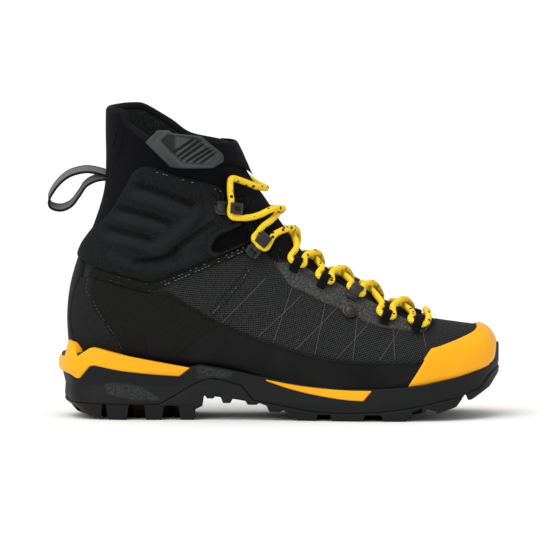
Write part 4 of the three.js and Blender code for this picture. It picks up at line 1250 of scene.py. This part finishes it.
# ------------------------------------------------------------------ lace
OVER_LIFTS = [4.0, 5.0, 5.3, 5.0, 4.0]    # heights across the tongue, over the other half of the lace
UNDER_LIFTS = [3.4, 2.0, 1.3, 2.0, 3.4]   # and under it
TOP_LOWER = [(90.8, 127.5), (94.7, 132.2), (99.5, 135.5)]    # the top crossing, up to the tongue's ridge
TOP_CREST = (105, 140.5)
TOP_UPPER = [(98.5, 141.8), (91.5, 139.4), (84.6, 138), (78, 138)]     # and down to the top hook
UPPER_LIFTS = {True: [6.1, 4.6, 5, 6.2], False: [3.2, 3.9, 4.8, 6.2]}     # over or under the other half
LEAST_LIFT = 3                            # least height of the top crossing's lower points
ON_PAD_LIFT = ON_PAD + LACE_RADIUS + 0.4
LACE_TOP = {                          # after the top hook, as (side, x, z, lift)
    OUTER: [(OUTER, 70, 155, ON_PAD_LIFT), (OUTER, 69.8, 161, ON_PAD_LIFT - 0.6), (OUTER, 70.6, 166.6, 4.6),
            (OUTER, 75, 165.6, 3.4), (OUTER, 84, 160.9, 3.3), (OUTER, 89, 158.2, 3.4),
            (OUTER, 95.5, 156.5, 3.5), (INNER, 89, 158.6, 3.4), (INNER, 84, 162.5, 3.4),
            (INNER, 75, 167.5, 3.4), (INNER, 66, 168.5, 4.5), (INNER, 56, 162, ON_PAD_LIFT),
            (INNER, 50, 150, ON_PAD_LIFT), (INNER, 47, 136, ON_PAD_LIFT), (INNER, 46, 120, ON_PAD_LIFT)],
    INNER: [(INNER, 70, 155, ON_PAD_LIFT), (INNER, 66.5, 160, ON_PAD_LIFT), (INNER, 61.2, 157, ON_PAD_LIFT),
            (INNER, 56.6, 148, ON_PAD_LIFT), (INNER, 55, 136, ON_PAD_LIFT), (INNER, 54.2, 122, ON_PAD_LIFT)],
}


def hardware_pass(row, side):
    """Both ends of the lace's pass through a piece of hardware, lower end first, and its place."""
    _, place, toward, kind = row
    matrix, index, turn = seat(place, side, base_height(kind), toward)
    along = -0.8 if kind.endswith("hook") else 0
    ends = [put([(along, y, PASS_HEIGHT[kind])], matrix)[0] for y in (-PASS_REACH, PASS_REACH)]
    ends.sort(key=lambda p: p[2] - p[0])
    return ends, index, turn


def crossing(start, end, over):
    """Points of the lace across the tongue, between the places of two pieces of hardware."""
    points = []
    for k, lift in enumerate(OVER_LIFTS if over else UNDER_LIFTS):
        t = (k + 1) / (len(OVER_LIFTS) + 1)
        index, turn = start[1] + (end[1] - start[1]) * t, start[2] + (end[2] - start[2]) * t
        points.append(offset_point(np.array(index), np.array(turn), lift))
    return points


def top_crossing(from_side, to_side, over):
    """Points of the lace from the locking hook on one side to the top hook on the other."""
    lifts = OVER_LIFTS if over else UNDER_LIFTS
    crest = find_on_surface([TOP_CREST], to_side)[0]
    lower = [lay([p], from_side, max(lifts[min(k, 1)], LEAST_LIFT))[0] for k, p in enumerate(TOP_LOWER)]
    upper = [lay([p], to_side, lift)[0] for p, lift in zip(TOP_UPPER, UPPER_LIFTS[over])]
    return [*lower, offset_point(crest, np.zeros(1), lifts[2])[0], *upper]


def lace_route(first_side):
    """The points of one half of the lace, from the middle of the lowest bar to its tip."""
    rows = HARDWARE[::-1]
    first = hardware_pass(rows[0], first_side)
    start = offset_point(np.array([first[1] - 0.25]), np.zeros(1), 3.6)[0]
    bend = first[0][0] * 0.6 + start * 0.4 + np.array([2.5, 2 * first_side, 1])
    route, side, previous = [start, bend], first_side, None
    for i, row in enumerate(rows):
        passed = hardware_pass(row, side)
        if previous:
            over = (i % 2 == 0) == (first_side == OUTER)
            last = i == len(rows) - 1
            route += top_crossing(-side, side, over) if last else crossing(previous, passed, over)
        route += passed[0]
        previous, side = passed, -side
    route += [lay([(x, z)], top_side, lift)[0] for top_side, x, z, lift in LACE_TOP[-side]]
    return np.array(route)


def make_lace(skins):
    for side in (OUTER, INNER):
        label = side_label(side)
        route = lace_route(side)
        path = resampled(smooth_line(route, 10), 0.9)
        for _ in range(3):
            path[1:-1] = (path[:-2] + 2 * path[1:-1] + path[2:]) / 4
        parts = Parts()
        tube(parts, path, LACE_RADIUS, 14)
        cord = parts.build(f"lace_cord_{label}", skins["lace"])
        finish_piece(cord, BOOT, [f"lace_half_{label}"])
        along = unit(route[-1] - route[-2])
        reach = np.array([-1.5, 0.1, 0.4, 9, 17.4, 18])
        tip = route[-1] + along * reach[:, None]
        parts = Parts()
        tube(parts, tip, np.array([2.3, 2.3, 1.75, 1.65, 1.6, 1.2]), 12)
        end = parts.build(f"lace_end_{label}", skins["tip"])
        finish_piece(end, BOOT, [f"lace_tip_{label}"])


# ------------------------------------------------------------------ sole
SOLE_EDGE = [                          # plan view, round the outer side first
    (-44, -9), (-39.5, -22), (-31, -30.5), (-16, -35.5), (4, -37), (32, -36.5), (60, -36.5), (88, -38.5),
    (118, -43.5), (148, -48.5), (178, -51), (204, -49), (225, -43), (241, -33), (251.5, -20), (257.5, -5),
    (259, 9), (256, 23), (248, 35), (236, 45), (218, 52), (196, 54.5), (170, 53), (145, 47.5), (120, 39),
    (95, 32.5), (65, 31.5), (35, 34.5), (4, 37), (-16, 35.5), (-31, 30.5), (-39.5, 22), (-44, 9),
    (-45.2, 0),
]
FOAM_FLOOR = [(-60, 14.5), (-41.3, 14.3), (-37, 12), (-22, 11), (24, 10.8), (30, 14), (50, 25.5), (56, 28),
              (61, 28.7), (70, 27), (81, 23.6), (84, 19.8), (88.8, 13.9), (96.6, 12.5), (112, 9.5),
              (130.5, 6.2), (151.8, 5.2), (174, 6.2), (190, 8), (210, 11.5), (227, 15.2), (233.4, 15.8),
              (237.3, 18.6), (246, 21.6), (250.3, 26.8), (252, 29.6), (258, 34.6), (270, 40)]
CONTACT = [(-60, 10.4), (-39.2, 10.2), (-32.3, 5), (-22.6, 2.2), (-14, 0.5), (-6, 0), (48.7, 0), (49.2, 7.5),
           (54.2, 9.9), (54.6, 16.9), (56, 16.8), (57, 14.9), (61.5, 14.9), (62.6, 16.6), (66.4, 16.2),
           (68, 11.8), (73.2, 11.8), (75, 15.4), (83.3, 13.6), (85, 10.7), (91.2, 10.7), (92.8, 12),
           (98, 10.2), (100, 5.8), (107.5, 5.8), (109.6, 7.2), (114, 3.6), (119.8, 0), (194, 0),
           (197.2, 3.6), (205.5, 4.4), (208.7, 8.2), (215, 6.8), (216.4, 5), (229, 9.2), (232, 13.3),
           (240.2, 14), (252.3, 21.3), (257.6, 27.6), (262, 33)]
ARCH = (48, 120)                         # where the arch starts and ends along the sole
ARCH_EDGE = 9.0                          # studs along the arch's edge reach this far in
WAIST = [(48, 14), (56, 16), (70, 14.6), (88, 11.8), (104, 9), (116, 4), (122, 0)]
GROOVE_FLOOR = [(-60, 12), (46, 9.6), (52, 17.4), (58, 18.4), (88, 15.6), (104, 11), (116, 6.6),
                (122, 4.4), (194, 4.4), (206, 9.4), (232, 16), (251, 24), (262, 34)]
NOTCHES = [(-14, 3.6), (8.5, 12), (32.5, 11.5), (137.5, 10), (171.4, 12.7), (201.4, 8.4), (235, 4)]
CRADLE = [(-38.6, 53.8, 1), (-36, 52.4), (-32.6, 43.5, 1), (-30.2, 45.5), (-24.2, 49.3, 1), (-20, 49.5),
          (0, 44.8), (25, 40), (45.6, 36.2, 1), (38, 30.2, 1), (18, 31.7), (-3, 34.2), (-20.5, 37.6, 1),
          (-23.6, 37.2, 1), (-31.5, 28.6, 1), (-34.5, 28.4), (-41, 31.4), (-60, 33.8, 1), (-60, 41.6, 1),
          (-41.8, 42.6, 1), (-40.6, 47, 1)]
INSERT = [(96.5, 28.8, 1), (121, 24.6), (149, 22), (171, 21.6, 1), (164.8, 14.1, 1), (149, 15.2), (128, 18.6),
          (111, 22.8), (98, 27.2, 1)]
BUMPER = [(250, 37, 1), (262, 37, 1), (262, 51, 1), (258.4, 51, 1), (255.4, 44)]
WEDGE = [(-14.6, 25.2, 1), (-4, 26.4), (12, 23.5), (29.2, 12.8, 1), (8, 13.2), (-12, 17, 1)]
PEAK = [(49.5, 35.5, 1), (54, 37.5), (77, 33.5, 1), (72, 28.6), (60, 28.8), (50, 27.4, 1)]
BACK_INSET = [(-5, 24), (0, 20), (3.5, 14.2), (9.5, 6.2), (13.8, 3.9), (17, 2.9), (25, 1.2), (34, 0.2),
              (38, 0), (44, 0.8), (54, 5.4), (70, 9)]
LEDGE = 8.0                              # width of the ledge from the wall's top in to the upper
LEDGE_BEND = 1.6                         # rounding where the wall turns into the ledge


HEEL_TREAD = 60                          # behind this place the lugs sweep the other way
TREAD_END = 205                          # ahead of it the tread has left the ground
LUG_PITCH = (15.0, 17.0)                 # at the heel, and at the forefoot
GROOVE_HALF, MIDDLE_GAP = 2.4, 2.0       # half widths of the grooves across and along the sole
EDGE_LUGS, INNER_LUGS = 15, 18.5         # from the edge: where its lugs end and the inner ones begin
STUD_RADIUS = 4.2


def rubber_profile(x, z):
    """How far the sole's side wall stands out of its plan outline: mm, at side-view places."""
    heel = np.clip((62 - x) / 20, 0, 1)
    heights = [-2, 4, 9.5, 11, 12.2, 17, 24, 31, 34, 60]
    at_heel = np.interp(z, heights, [-2.6, -1.7, -0.8, 0.1, 0.1, -0.9, -2.9, -2.0, -1.0, -1.0])
    at_toe = np.interp(z, heights, [-2.2, -1.4, -0.8, -0.5, -0.4, -0.9, -1.2, -0.7, -0.4, -0.4])
    return at_heel * heel + at_toe * (1 - heel)


def back_inset(height, outward):
    """How far the heel's back leans in at a height; nothing where the wall faces sideways or forward."""
    return along_table(BACK_INSET, height) * np.clip(-outward[:, 0], 0, 1) ** 1.5


class SideWall:
    """The sole's side wall unrolled: columns run round the sole, rows up from the ground and then,
    past the foot line, inwards over a ledge to the upper."""

    def __init__(self, step=0.7):
        outline = curve(SOLE_EDGE)
        closed = np.concatenate([outline, outline[:1]])
        ring = resampled(closed, step)[:-1]
        along = unit(np.roll(ring, -1, axis=0) - np.roll(ring, 1, axis=0))
        outward = np.stack([along[:, 1], -along[:, 0]], axis=1)
        for _ in range(8):
            outward = unit(np.roll(outward, 1, axis=0) + 2 * outward + np.roll(outward, -1, axis=0))
        if ((ring - ring.mean(axis=0)) * outward).sum() < 0:
            outward = -outward
        self.ring, self.outward = ring, outward
        self.foot_line = along_table(FEATHER, ring[:, 0]) + 0.3
        v = self.heights(np.arange(-2, 66, step))
        over = np.clip(v - self.foot_line, 0, None)
        turned = LEDGE_BEND * 0.5 * (1 - np.exp(-over / LEDGE_BEND))
        z = np.where(over > 0, self.foot_line + turned, v)
        self.grid(v, z, back_inset(v, outward) + np.clip(over - turned, 0, None))

    def heights(self, rows):
        """Height of each row, the same in every column."""
        return rows[:, None] + np.zeros(len(self.ring))

    def grid(self, v, z, inset):
        flat = self.ring[None] - self.outward[None] * inset[..., None]
        self.points = np.concatenate([flat, z[..., None]], axis=2)
        self.places = np.stack([flat[..., 0], v], axis=-1)
        s = arc_length(np.concatenate([self.ring, self.ring[:1]]), 0)[:-1]
        self.uv = np.stack([s[None] + 0 * v, v], axis=-1)
        side = np.concatenate([self.outward, np.zeros((len(self.outward), 1))], axis=1)
        self.normals = np.broadcast_to(side[None], self.points.shape).copy()

    def closed(self):
        """The same wall with its first column repeated, so that faces join up round the sole."""
        for name in ("points", "places", "uv", "normals"):
            value = getattr(self, name)
            setattr(self, name, np.concatenate([value, value[:, :1]], axis=1))
        return self


def standing_wall(wall):
    """The wall without its ledge, for the heel cradle that stands up beside the upper."""
    tall = copy.copy(wall)
    v = tall.heights(np.arange(20, 58, 0.6))
    tall.grid(v, v, back_inset(v, tall.outward))
    return tall.closed()


def notch_gap(x):
    """Distance of a place along the sole to the nearest notch in its edge, negative in a notch."""
    return np.min([np.abs(x - middle) - width / 2 for middle, width in NOTCHES], axis=0)


def contact_height(x):
    return along_table(CONTACT, x)


def groove_height(x):
    return np.maximum(along_table(GROOVE_FLOOR, x), contact_height(x) + 1)


def soft_step(distance, width=0.9):
    t = np.clip(distance / width * 0.5 + 0.5, 0, 1)
    return t * t * (3 - 2 * t)


def underside_height(x, y, inset):
    """Height of the sole's underside, lugs and grooves, at plan places a given way in from its edge."""
    middle = 1.5 + 2.5 * np.sin(np.clip(x / 260, 0, 1) * np.pi)
    edge_lug = np.minimum(notch_gap(x), EDGE_LUGS - inset)
    at_heel = x < HEEL_TREAD
    pitch = np.where(at_heel, *LUG_PITCH)
    swept = x + 0.4 * np.abs(y - middle) * np.where(at_heel, 1, -1) + 5
    block = (pitch / 2 - GROOVE_HALF) - np.abs(np.mod(swept, pitch) - pitch / 2)
    inner_lug = np.minimum.reduce([block, np.abs(y - middle) - MIDDLE_GAP, inset - INNER_LUGS])
    studs = STUD_RADIUS - np.hypot(np.mod(x - 4, 14) - 7, np.mod(y + 3, 13) - 6.5)
    waist = np.clip(1 - np.abs(x - 80) / 26, 0, 1)
    inner_lug = np.where(waist > 0.05, studs, inner_lug)
    lug = soft_step(np.maximum(edge_lug, inner_lug))
    deep = soft_step(inset - ARCH_EDGE) * ((x > ARCH[0]) & (x < ARCH[1]))
    contact = contact_height(x) * (1 - deep) + along_table(WAIST, x) * deep
    return groove_height(x) + (contact - groove_height(x)) * lug


def facing_out(points, faces, normals):
    """Faces turned so that they look the way the normals do."""
    face = faces[len(faces) // 2]
    a, b, c = points[face[0]], points[face[1]], points[face[2]]
    if np.dot(np.cross(b - a, c - a), normals[face[0]]) < 0:
        return [f[::-1] for f in faces]
    return faces


def wall_patch(wall, edge, offset, rim):
    """The part of the wall inside an edge, and its points moved out by an offset."""
    patch = cut_patch(wall, edge, None, rim)
    points = patch.points + patch.normals * offset(patch)[:, None]
    patch.faces = facing_out(points, patch.faces, patch.normals)
    return patch, points


def with_skirt(parts, points, faces, uv, inward, depth):
    """Add faces with strips running in from their open edges."""
    used = {}
    for face in faces:
        for a, b in zip(face, face[1:] + face[:1]):
            used[(a, b)] = used.get((a, b), 0) + 1
    border = [(a, b) for (a, b) in used if (b, a) not in used]
    new_points, new_faces, new_uv, renumber = list(points), list(faces), list(uv), {}
    for a, b in border:
        for v in (a, b):
            if v not in renumber:
                renumber[v] = len(new_points)
                new_points.append(points[v] + inward[v] * depth)
                new_uv.append(uv[v])
        new_faces.append([b, a, renumber[a], renumber[b]])
    parts.add(np.array(new_points), new_faces, np.array(new_uv))


def make_sole(skins):
    wall = SideWall().closed()
    x, v = wall.places[..., 0], wall.places[..., 1]
    rng = np.random.default_rng(7)
    below = distance_to_outline(wall.places, np.array([*FOAM_FLOOR, (270, -30), (-60, -30)]))
    foot_line = np.append(wall.foot_line, wall.foot_line[:1])
    top = v - foot_line[None] - LEDGE

    def foam_offset(patch):
        lift = rubber_profile(*patch.wall_places.T) - 1.0 * (1 - rounded(patch.edge, 1.0))
        for outline in (WEDGE, PEAK):
            gap = distance_to_outline(patch.wall_places, curve(outline))
            lift = lift + np.clip(-gap / 1.2, 0, 1) * rng.random(len(gap))
        return lift

    foam_edge = np.maximum(-below, top)
    patch, points = wall_patch(wall, foam_edge, foam_offset, (0.3, 1.0))
    foam = make_object("midsole_wall", points, patch.faces, skins["foam"], patch.uv)
    mark_stipple(foam)
    finish_piece(foam, BOOT, ["midsole"])

    lowest = underside_height(x, np.zeros_like(x), np.zeros_like(x))
    rubber_edge = np.maximum(below, (lowest - v) * 0.8)

    def rubber_offset(patch):
        return rubber_profile(*patch.wall_places.T) + 0.5 - 1.1 * (1 - rounded(patch.edge, 1.1))

    parts = Parts()
    patch, points = wall_patch(wall, rubber_edge, rubber_offset, (0.3, 1.1))
    parts.add(points, patch.faces, patch.uv)
    add_underside(parts, wall)
    outsole = parts.build("outsole_rubber", skins["rubber"])
    mark_groove_floors(outsole)
    finish_piece(outsole, BOOT, ["outsole"])

    tall = standing_wall(wall)
    for name, outline, proud, source, nodes in (
            ("cradle_frame", CRADLE, 1.0, tall, ["heel_cradle"]),
            ("bumper_strip", BUMPER, -0.1, tall, ["toe_bumper"]),
            ("insert_outer", INSERT, 0.35, wall, ["forefoot_insert_outer"]),
            ("insert_inner", INSERT, 0.35, wall, ["forefoot_insert_inner"])):
        edge = distance_to_outline(source.places, curve(outline))
        if name.startswith("insert"):
            wrong_side = source.points[..., 1] * (1 if name.endswith("outer") else -1)
            edge = np.maximum(edge, wrong_side)

        def proud_offset(patch, proud=proud):
            return rubber_profile(*patch.wall_places.T) + proud + 0.4 - 1.4 * (1 - rounded(patch.edge, 1.4))

        patch, points = wall_patch(source, edge, proud_offset, ROLLED_RIM)
        parts = Parts()
        depth = 6.5 if name == "cradle_frame" else 1.0
        with_skirt(parts, points, patch.faces, patch.uv, -patch.normals, depth)
        skin, slot = ("rand", "rand_rubber") if name == "bumper_strip" else ("yellow", "yellow_plastic")
        finish_piece(parts.build(name, skins[skin]), BOOT, nodes)


class PlanGrid:
    """An even grid in plan, over the whole sole."""

    def __init__(self, step):
        xs, ys = np.arange(-46, 261, step), np.arange(-53, 57, step)
        self.uv = np.stack(np.meshgrid(xs, ys, indexing="ij"), axis=-1)
        self.points = np.concatenate([self.uv, np.zeros((*self.uv.shape[:2], 1))], axis=2)
        self.normals = np.zeros(self.points.shape)


def add_underside(parts, wall):
    """The lugged underside as one height field inside the sole's outline."""
    inset = back_inset(contact_height(wall.ring[:, 0]) + 0.5, wall.outward)
    rim = wall.ring - wall.outward * (inset + 1.9)[:, None]
    field = PlanGrid(0.85)
    patch = cut_patch(field, distance_to_outline(field.uv, rim, reach=40), None, (0.6, 1.5))
    height = underside_height(patch.points[:, 0], patch.points[:, 1], -patch.edge + 1.2)
    height = height + 0.7 * (1 - rounded(patch.edge, 1.5))
    points = np.column_stack([patch.points[:, :2], height])
    down = np.broadcast_to([0, 0, -1.0], points.shape)
    parts.add(points, facing_out(points, patch.faces, down), patch.uv)


def mark_stipple(piece):
    """Vertex values for the shader: 1 on the stippled areas of the midsole's side."""
    places = side_places(piece)
    gaps = [distance_to_outline(places, curve(outline)) for outline in (WEDGE, PEAK)]
    mark(piece, "stipple", np.clip(-np.minimum(*gaps) / 1.5, 0, 1))


def mark_groove_floors(piece):
    """Vertex values for the shader: 1 in the tread's grooves, but not at the arch or on the side wall."""
    x, y, z = positions(piece)
    share = np.clip((z - contact_height(x)) / (groove_height(x) - contact_height(x)), 0, 1)
    inset = -distance_to_outline(np.stack([x, y], axis=1), curve(SOLE_EDGE), reach=40)
    beside_arch = (x < ARCH[0] - 1) | (x > ARCH[1])
    low = (z < groove_height(x) + 0.4) & (inset > 2.4) & beside_arch & (x < TREAD_END)
    mark(piece, "groove", share * low)


# ------------------------------------------------------------------ foot bed
FOOTBED_TOP = [(-45, 50), (-14, 48), (12, 46.5), (43, 45.5), (72, 43), (101, 36.5), (130, 30.5), (157, 28.5),
               (182, 28.5), (205, 31.5), (228, 37), (243, 43), (255, 50)]
FOOTBED_INSET = 11                        # from the sole's edge in to the footbed's
FOOTBED_THICKNESS = 3.5


def make_footbed(skins):
    field = PlanGrid(2.0)
    edge = distance_to_outline(field.uv, curve(SOLE_EDGE), reach=60) + FOOTBED_INSET
    patch = cut_patch(field, edge, None, (1.0, 3.0))
    parts = Parts()
    for lift, up in ((0.0, 1.0), (-FOOTBED_THICKNESS, -1.0)):
        cup = 2.5 * np.exp(patch.edge / 5) if up > 0 else 0
        z = along_table(FOOTBED_TOP, patch.points[:, 0]) + lift + cup
        points = np.column_stack([patch.points[:, :2], z])
        normal = np.broadcast_to([0, 0, up], points.shape)
        parts.add(points, facing_out(points, patch.faces, normal), patch.uv)
    finish_piece(parts.build("footbed_pad", skins["footbed"]), INSOLE, ["footbed"])


# ------------------------------------------------------------------ seams and threads
THREADS = [((115.8, 91.3), (102.6, 53.9)), ((123.7, 87.4), (92, 57.9)), ((138.7, 81.2), (131.2, 45.1)),
           ((146.6, 77.7), (117.6, 49.1)), ((160.7, 72), (157.6, 42.4)), ((169, 68), (146.6, 43.7)),
           ((185.5, 64.8), (186.6, 43.3)), ((191.1, 64.2), (175.7, 42.2)), ((205.9, 62.1), (208.2, 51.1)),
           ((97.5, 98), (67.5, 67.5))]
SEAMS = [                              # side-view line, lift, stitch length, share kept, skin
    ([(27, 93.6), (34, 96.2), (60, 107.2), (86, 117.8)], 1.0, 1.6, 0.62, "light_thread"),
    ([(-19, 98), (-4, 95.6), (15, 89.9), (23, 92)], 1.0, 1.6, 0.3, "grey_thread"),
    ([(-20, 102.8), (-4, 99.2), (16, 94.6), (23, 94.8), (30, 97)], 1.0, 1.6, 0.3, "grey_thread"),
    ([(27, 95.8), (34, 98.4), (60, 109.5), (86, 120.1)], 1.0, 1.2, 0.45, "light_thread"),
    ([(87.5, 106), (81, 96), (74, 88.2), (60.5, 73.4)], SHELL + 0.25, 1.0, 0.5, "light_thread"),
    ([(22, 172.2), (39, 167), (55, 162.4), (66, 157.6)], 3.0, 1.4, 0.35, "light_thread"),
    ([(-24.3, 98.2), (-25.8, 88.7), (-22.2, 83.5), (-16.8, 73.4), (-6.5, 58.5), (-0.5, 47)], 0.5, 2.0, 0.8,
     "grey_thread"),
    ([(27, 87), (47, 76.4), (64, 66.8)], 0.45, 2.2, 1, "dark_thread"),
    ([(-20, 99.6), (-4, 96.6), (15, 90.8), (24, 93)], 0.85, 2.2, 0.9, "dark_thread"),
    ([(88.5, 104.5), (81.5, 94.6), (74.5, 86.6), (61, 71.4)], SHELL + 0.25, 1.6, 1, "dark_thread"),
    ([(84.6, 105.5), (78.5, 97), (71.5, 89), (58.5, 74.5)], SHELL + 0.25, 1.6, 1, "dark_thread"),
    ([(69, 64.6), (92, 55.2), (114.5, 48.3), (132, 43.4), (152.5, 40.1), (176.5, 39.3), (204, 39.9)],
     0.95, 2.2, 1, "dark_thread"),
    ([(208.5, 62.5), (191, 65), (168, 69.5), (150, 79), (125, 90.5), (117, 94)],
     0.5, 1.8, 0.9, "grey_thread"),
    ([(1.2, 206.6), (-2, 193.4), (-4.7, 182.9), (-10.6, 173)], -0.4, 6, 1, "dark_thread"),
    ([(-3.6, 206.4), (-6.8, 193), (-8.6, 186)], -0.4, 6, 1, "dark_thread"),
]


def make_threads(skins):
    rng = np.random.default_rng(3)
    for side in (OUTER, INNER):
        label = side_label(side)
        parts = Parts()
        for start, end in THREADS:
            line = resampled(np.array([start, end]), 1.5)
            tube(parts, lay(line, side, SHELL + 0.15), 0.36, 6)
        finish_piece(parts.build(f"support_threads_{label}", skins["grey_thread"]), BOOT, [])
        for skin in ("light_thread", "grey_thread", "dark_thread"):
            parts = Parts()
            for line, lift, length, kept, seam_skin in SEAMS:
                if seam_skin == skin:
                    stitches(parts, line, side, lift, length, rng, kept)
            finish_piece(parts.build(f"{skin}_seams_{label}", skins[skin]), BOOT, [])


# ------------------------------------------------------------------ finishes
def paint(red, green, blue):
    """A colour given as on a screen, 0 to 255, in the linear numbers that shaders take."""
    return tuple((c / 255 / 12.92) if c <= 10 else ((c / 255 + 0.055) / 1.055) ** 2.4
                 for c in (red, green, blue))


def lace_material():
    material, _ = new_material("braided_lace", paint(250, 205, 40), 0.7, 0.25)
    nodes = Nodes(material)
    straight = nodes.coordinates()
    braid = nodes.math("MAXIMUM", *(nodes.bands(nodes.coordinates(turn=turn), 1.5) for turn in (40, -40)))
    flecks = nodes.math("LESS_THAN", nodes.cells(straight, 190), 0.23)
    tone = nodes.ramp(braid, [(0.1, paint(224, 164, 10)), (0.7, paint(255, 220, 48))])
    nodes.colour(blend_colours(nodes, flecks, tone, paint(22, 20, 16)))
    nodes.bump(braid, 0.35, 0.9)
    return material


def webbing_material():
    material, _ = new_material("grey_webbing", paint(112, 112, 114), 0.8)
    nodes = Nodes(material)
    vector = nodes.coordinates()
    split = nodes.add("ShaderNodeSeparateXYZ")
    nodes.link(vector, split.inputs[0])
    across = nodes.math("ABSOLUTE", split.outputs["Y"], 0)
    border = nodes.math("GREATER_THAN", across, LOOP_BORDER * MM)
    ribs = nodes.bands(vector, 1.1)
    tone = nodes.ramp(ribs, [(0.2, paint(84, 84, 86)), (0.9, paint(128, 128, 130))])
    nodes.colour(blend_colours(nodes, border, tone, paint(24, 24, 26)))
    nodes.bump(ribs, 0.2, 0.7)
    return material


def blend_colours(nodes, factor, first, second):
    mix = nodes.add("ShaderNodeMix", data_type="RGBA")
    for value, socket in ((factor, mix.inputs["Factor"]), (first, mix.inputs[6]), (second, mix.inputs[7])):
        if isinstance(value, tuple):
            socket.default_value = (*value, 1)
        else:
            nodes.link(value, socket)
    return mix.outputs[2]


def sole_material(name, dark, pale, attribute, marked, speckled):
    """Sole rubber or foam: a marked area takes another colour, all over or in specks."""
    material, _ = new_material(name, dark, 0.6, 0.22)
    nodes = Nodes(material)
    vector = nodes.coordinates(use_uv=False)
    drift = nodes.noise(vector, 40, 4)
    share = nodes.attribute(attribute)
    if speckled:
        specks = nodes.math("GREATER_THAN", nodes.noise(vector, 2600, 2), 0.56)
        share = nodes.math("MULTIPLY", share, specks)
    tone = nodes.ramp(drift, [(0.3, dark), (0.7, pale)])
    nodes.colour(blend_colours(nodes, nodes.math("MULTIPLY", share, 0.8), tone, marked))
    nodes.roughness(drift, 0.5, 0.68)
    nodes.bump(nodes.noise(vector, 1800, 2), 0.08, 0.6)
    return material


def metal(name, colour, roughness):
    material, shader = new_material(name, colour, roughness, 0.3)
    shader.inputs["Metallic"].default_value = 0.7
    nodes = Nodes(material)
    vector = nodes.coordinates(use_uv=False)
    nodes.roughness(nodes.noise(vector, 300, 4), roughness - 0.1, roughness + 0.1)
    nodes.bump(nodes.noise(vector, 900, 3), 0.04, 0.5)
    return material


def make_skins():
    return {
        "woven": woven("shell_weave", paint(4, 4, 5), paint(72, 73, 74), 1.45, turn=55, depth_mm=0.35),
        "tongue": woven("tongue_weave", paint(12, 12, 14), paint(30, 30, 33), 0.9),
        "softshell": woven("softshell_twill", paint(5, 5, 7), paint(14, 15, 21), 0.45, depth_mm=0.08),
        "softshell_dark": woven("binding_twill", paint(14, 14, 16), paint(27, 27, 30), 0.5, depth_mm=0.1),
        "cuff": knit_mesh("cuff_mesh", paint(5, 5, 6), paint(33, 34, 35), 0.75, relief=0.34),
        "lining": knit_mesh("lining_mesh", paint(5, 6, 6), paint(44, 47, 45), 1.1),
        "heel": woven("heel_microfibre", paint(10, 10, 9), paint(40, 40, 38), 1.05, turn=25, depth_mm=0.15),
        "counter": woven("counter_weave", paint(15, 15, 16), paint(52, 53, 53), 0.8),
        "rand": moulded("rand_rubber", paint(6, 7, 6), 0.62, grain_mm=0.4, depth_mm=0.06, tone_and_shade_spread=0.3,
                        shine=0.14),
        "eyestay": knit_mesh("eyestay_heather", paint(10, 10, 10), paint(88, 88, 87), 1.0, relief=0.5),
        "yellow": moulded("yellow_tpu", paint(250, 172, 16), 0.45, grain_mm=0.6, depth_mm=0.04, tone_and_shade_spread=0.04),
        "foam": sole_material("midsole_foam", paint(11, 12, 13), paint(18, 19, 20), "stipple",
                              paint(84, 85, 86), True),
        "rubber": sole_material("outsole_rubber", paint(12, 13, 13), paint(20, 21, 21), "groove",
                                paint(52, 34, 22), False),
        "tab": moulded("tab_rubber", paint(47, 50, 48), 0.55, grain_mm=0.35, depth_mm=0.05, tone_and_shade_spread=0.55,
                       relief=0.6),
        "webbing": webbing_material(),
        "keeper": woven("keeper_webbing", paint(9, 9, 10), paint(26, 26, 28), 0.9),
        "metal": metal("gunmetal", paint(58, 57, 56), 0.38),
        "lace": lace_material(),
        "tip": moulded("lace_tip", paint(18, 18, 18), 0.3, tone_and_shade_spread=0.05, shine=0.4),
        "footbed": knit_mesh("footbed_cover", paint(48, 48, 50), paint(96, 96, 98), 0.9),
        "light_thread": woven("light_thread", paint(110, 110, 110), paint(170, 170, 168), 0.4),
        "grey_thread": woven("grey_thread", paint(66, 66, 66), paint(108, 108, 108), 0.4),
        "dark_thread": woven("dark_thread", paint(6, 6, 6), paint(34, 34, 34), 0.4),
        "tape": knit_mesh("nylon_tape", paint(14, 14, 14), paint(40, 40, 42), 0.6),
        "board": moulded("fibre_board", paint(90, 84, 74), 0.9),
    }


def dress_cad_nodes(skins):
    for name, skin in (("shank", "metal"), ("insole_board", "board"), ("hook_tape", "tape"),
                       ("loop_tape", "tape")):
        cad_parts[name].material_slots[0].material = skins[skin]


make_camera()
skins = make_skins()
make_studio()
make_lace(skins)
upper = Upper()
make_shell(upper, skins)
make_rim(skins)
make_trims(upper, skins)
make_cuffs(skins)
make_flap(skins)
make_loop(skins)
make_hardware(skins)
make_sole(skins)
make_footbed(skins)
make_threads(skins)
dress_cad_nodes(skins)


def plain(value):
    return [plain(v) for v in value] if hasattr(value, "__len__") else float(value)


{"cad": plain(cad_bounds), "visual": plain(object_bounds())}
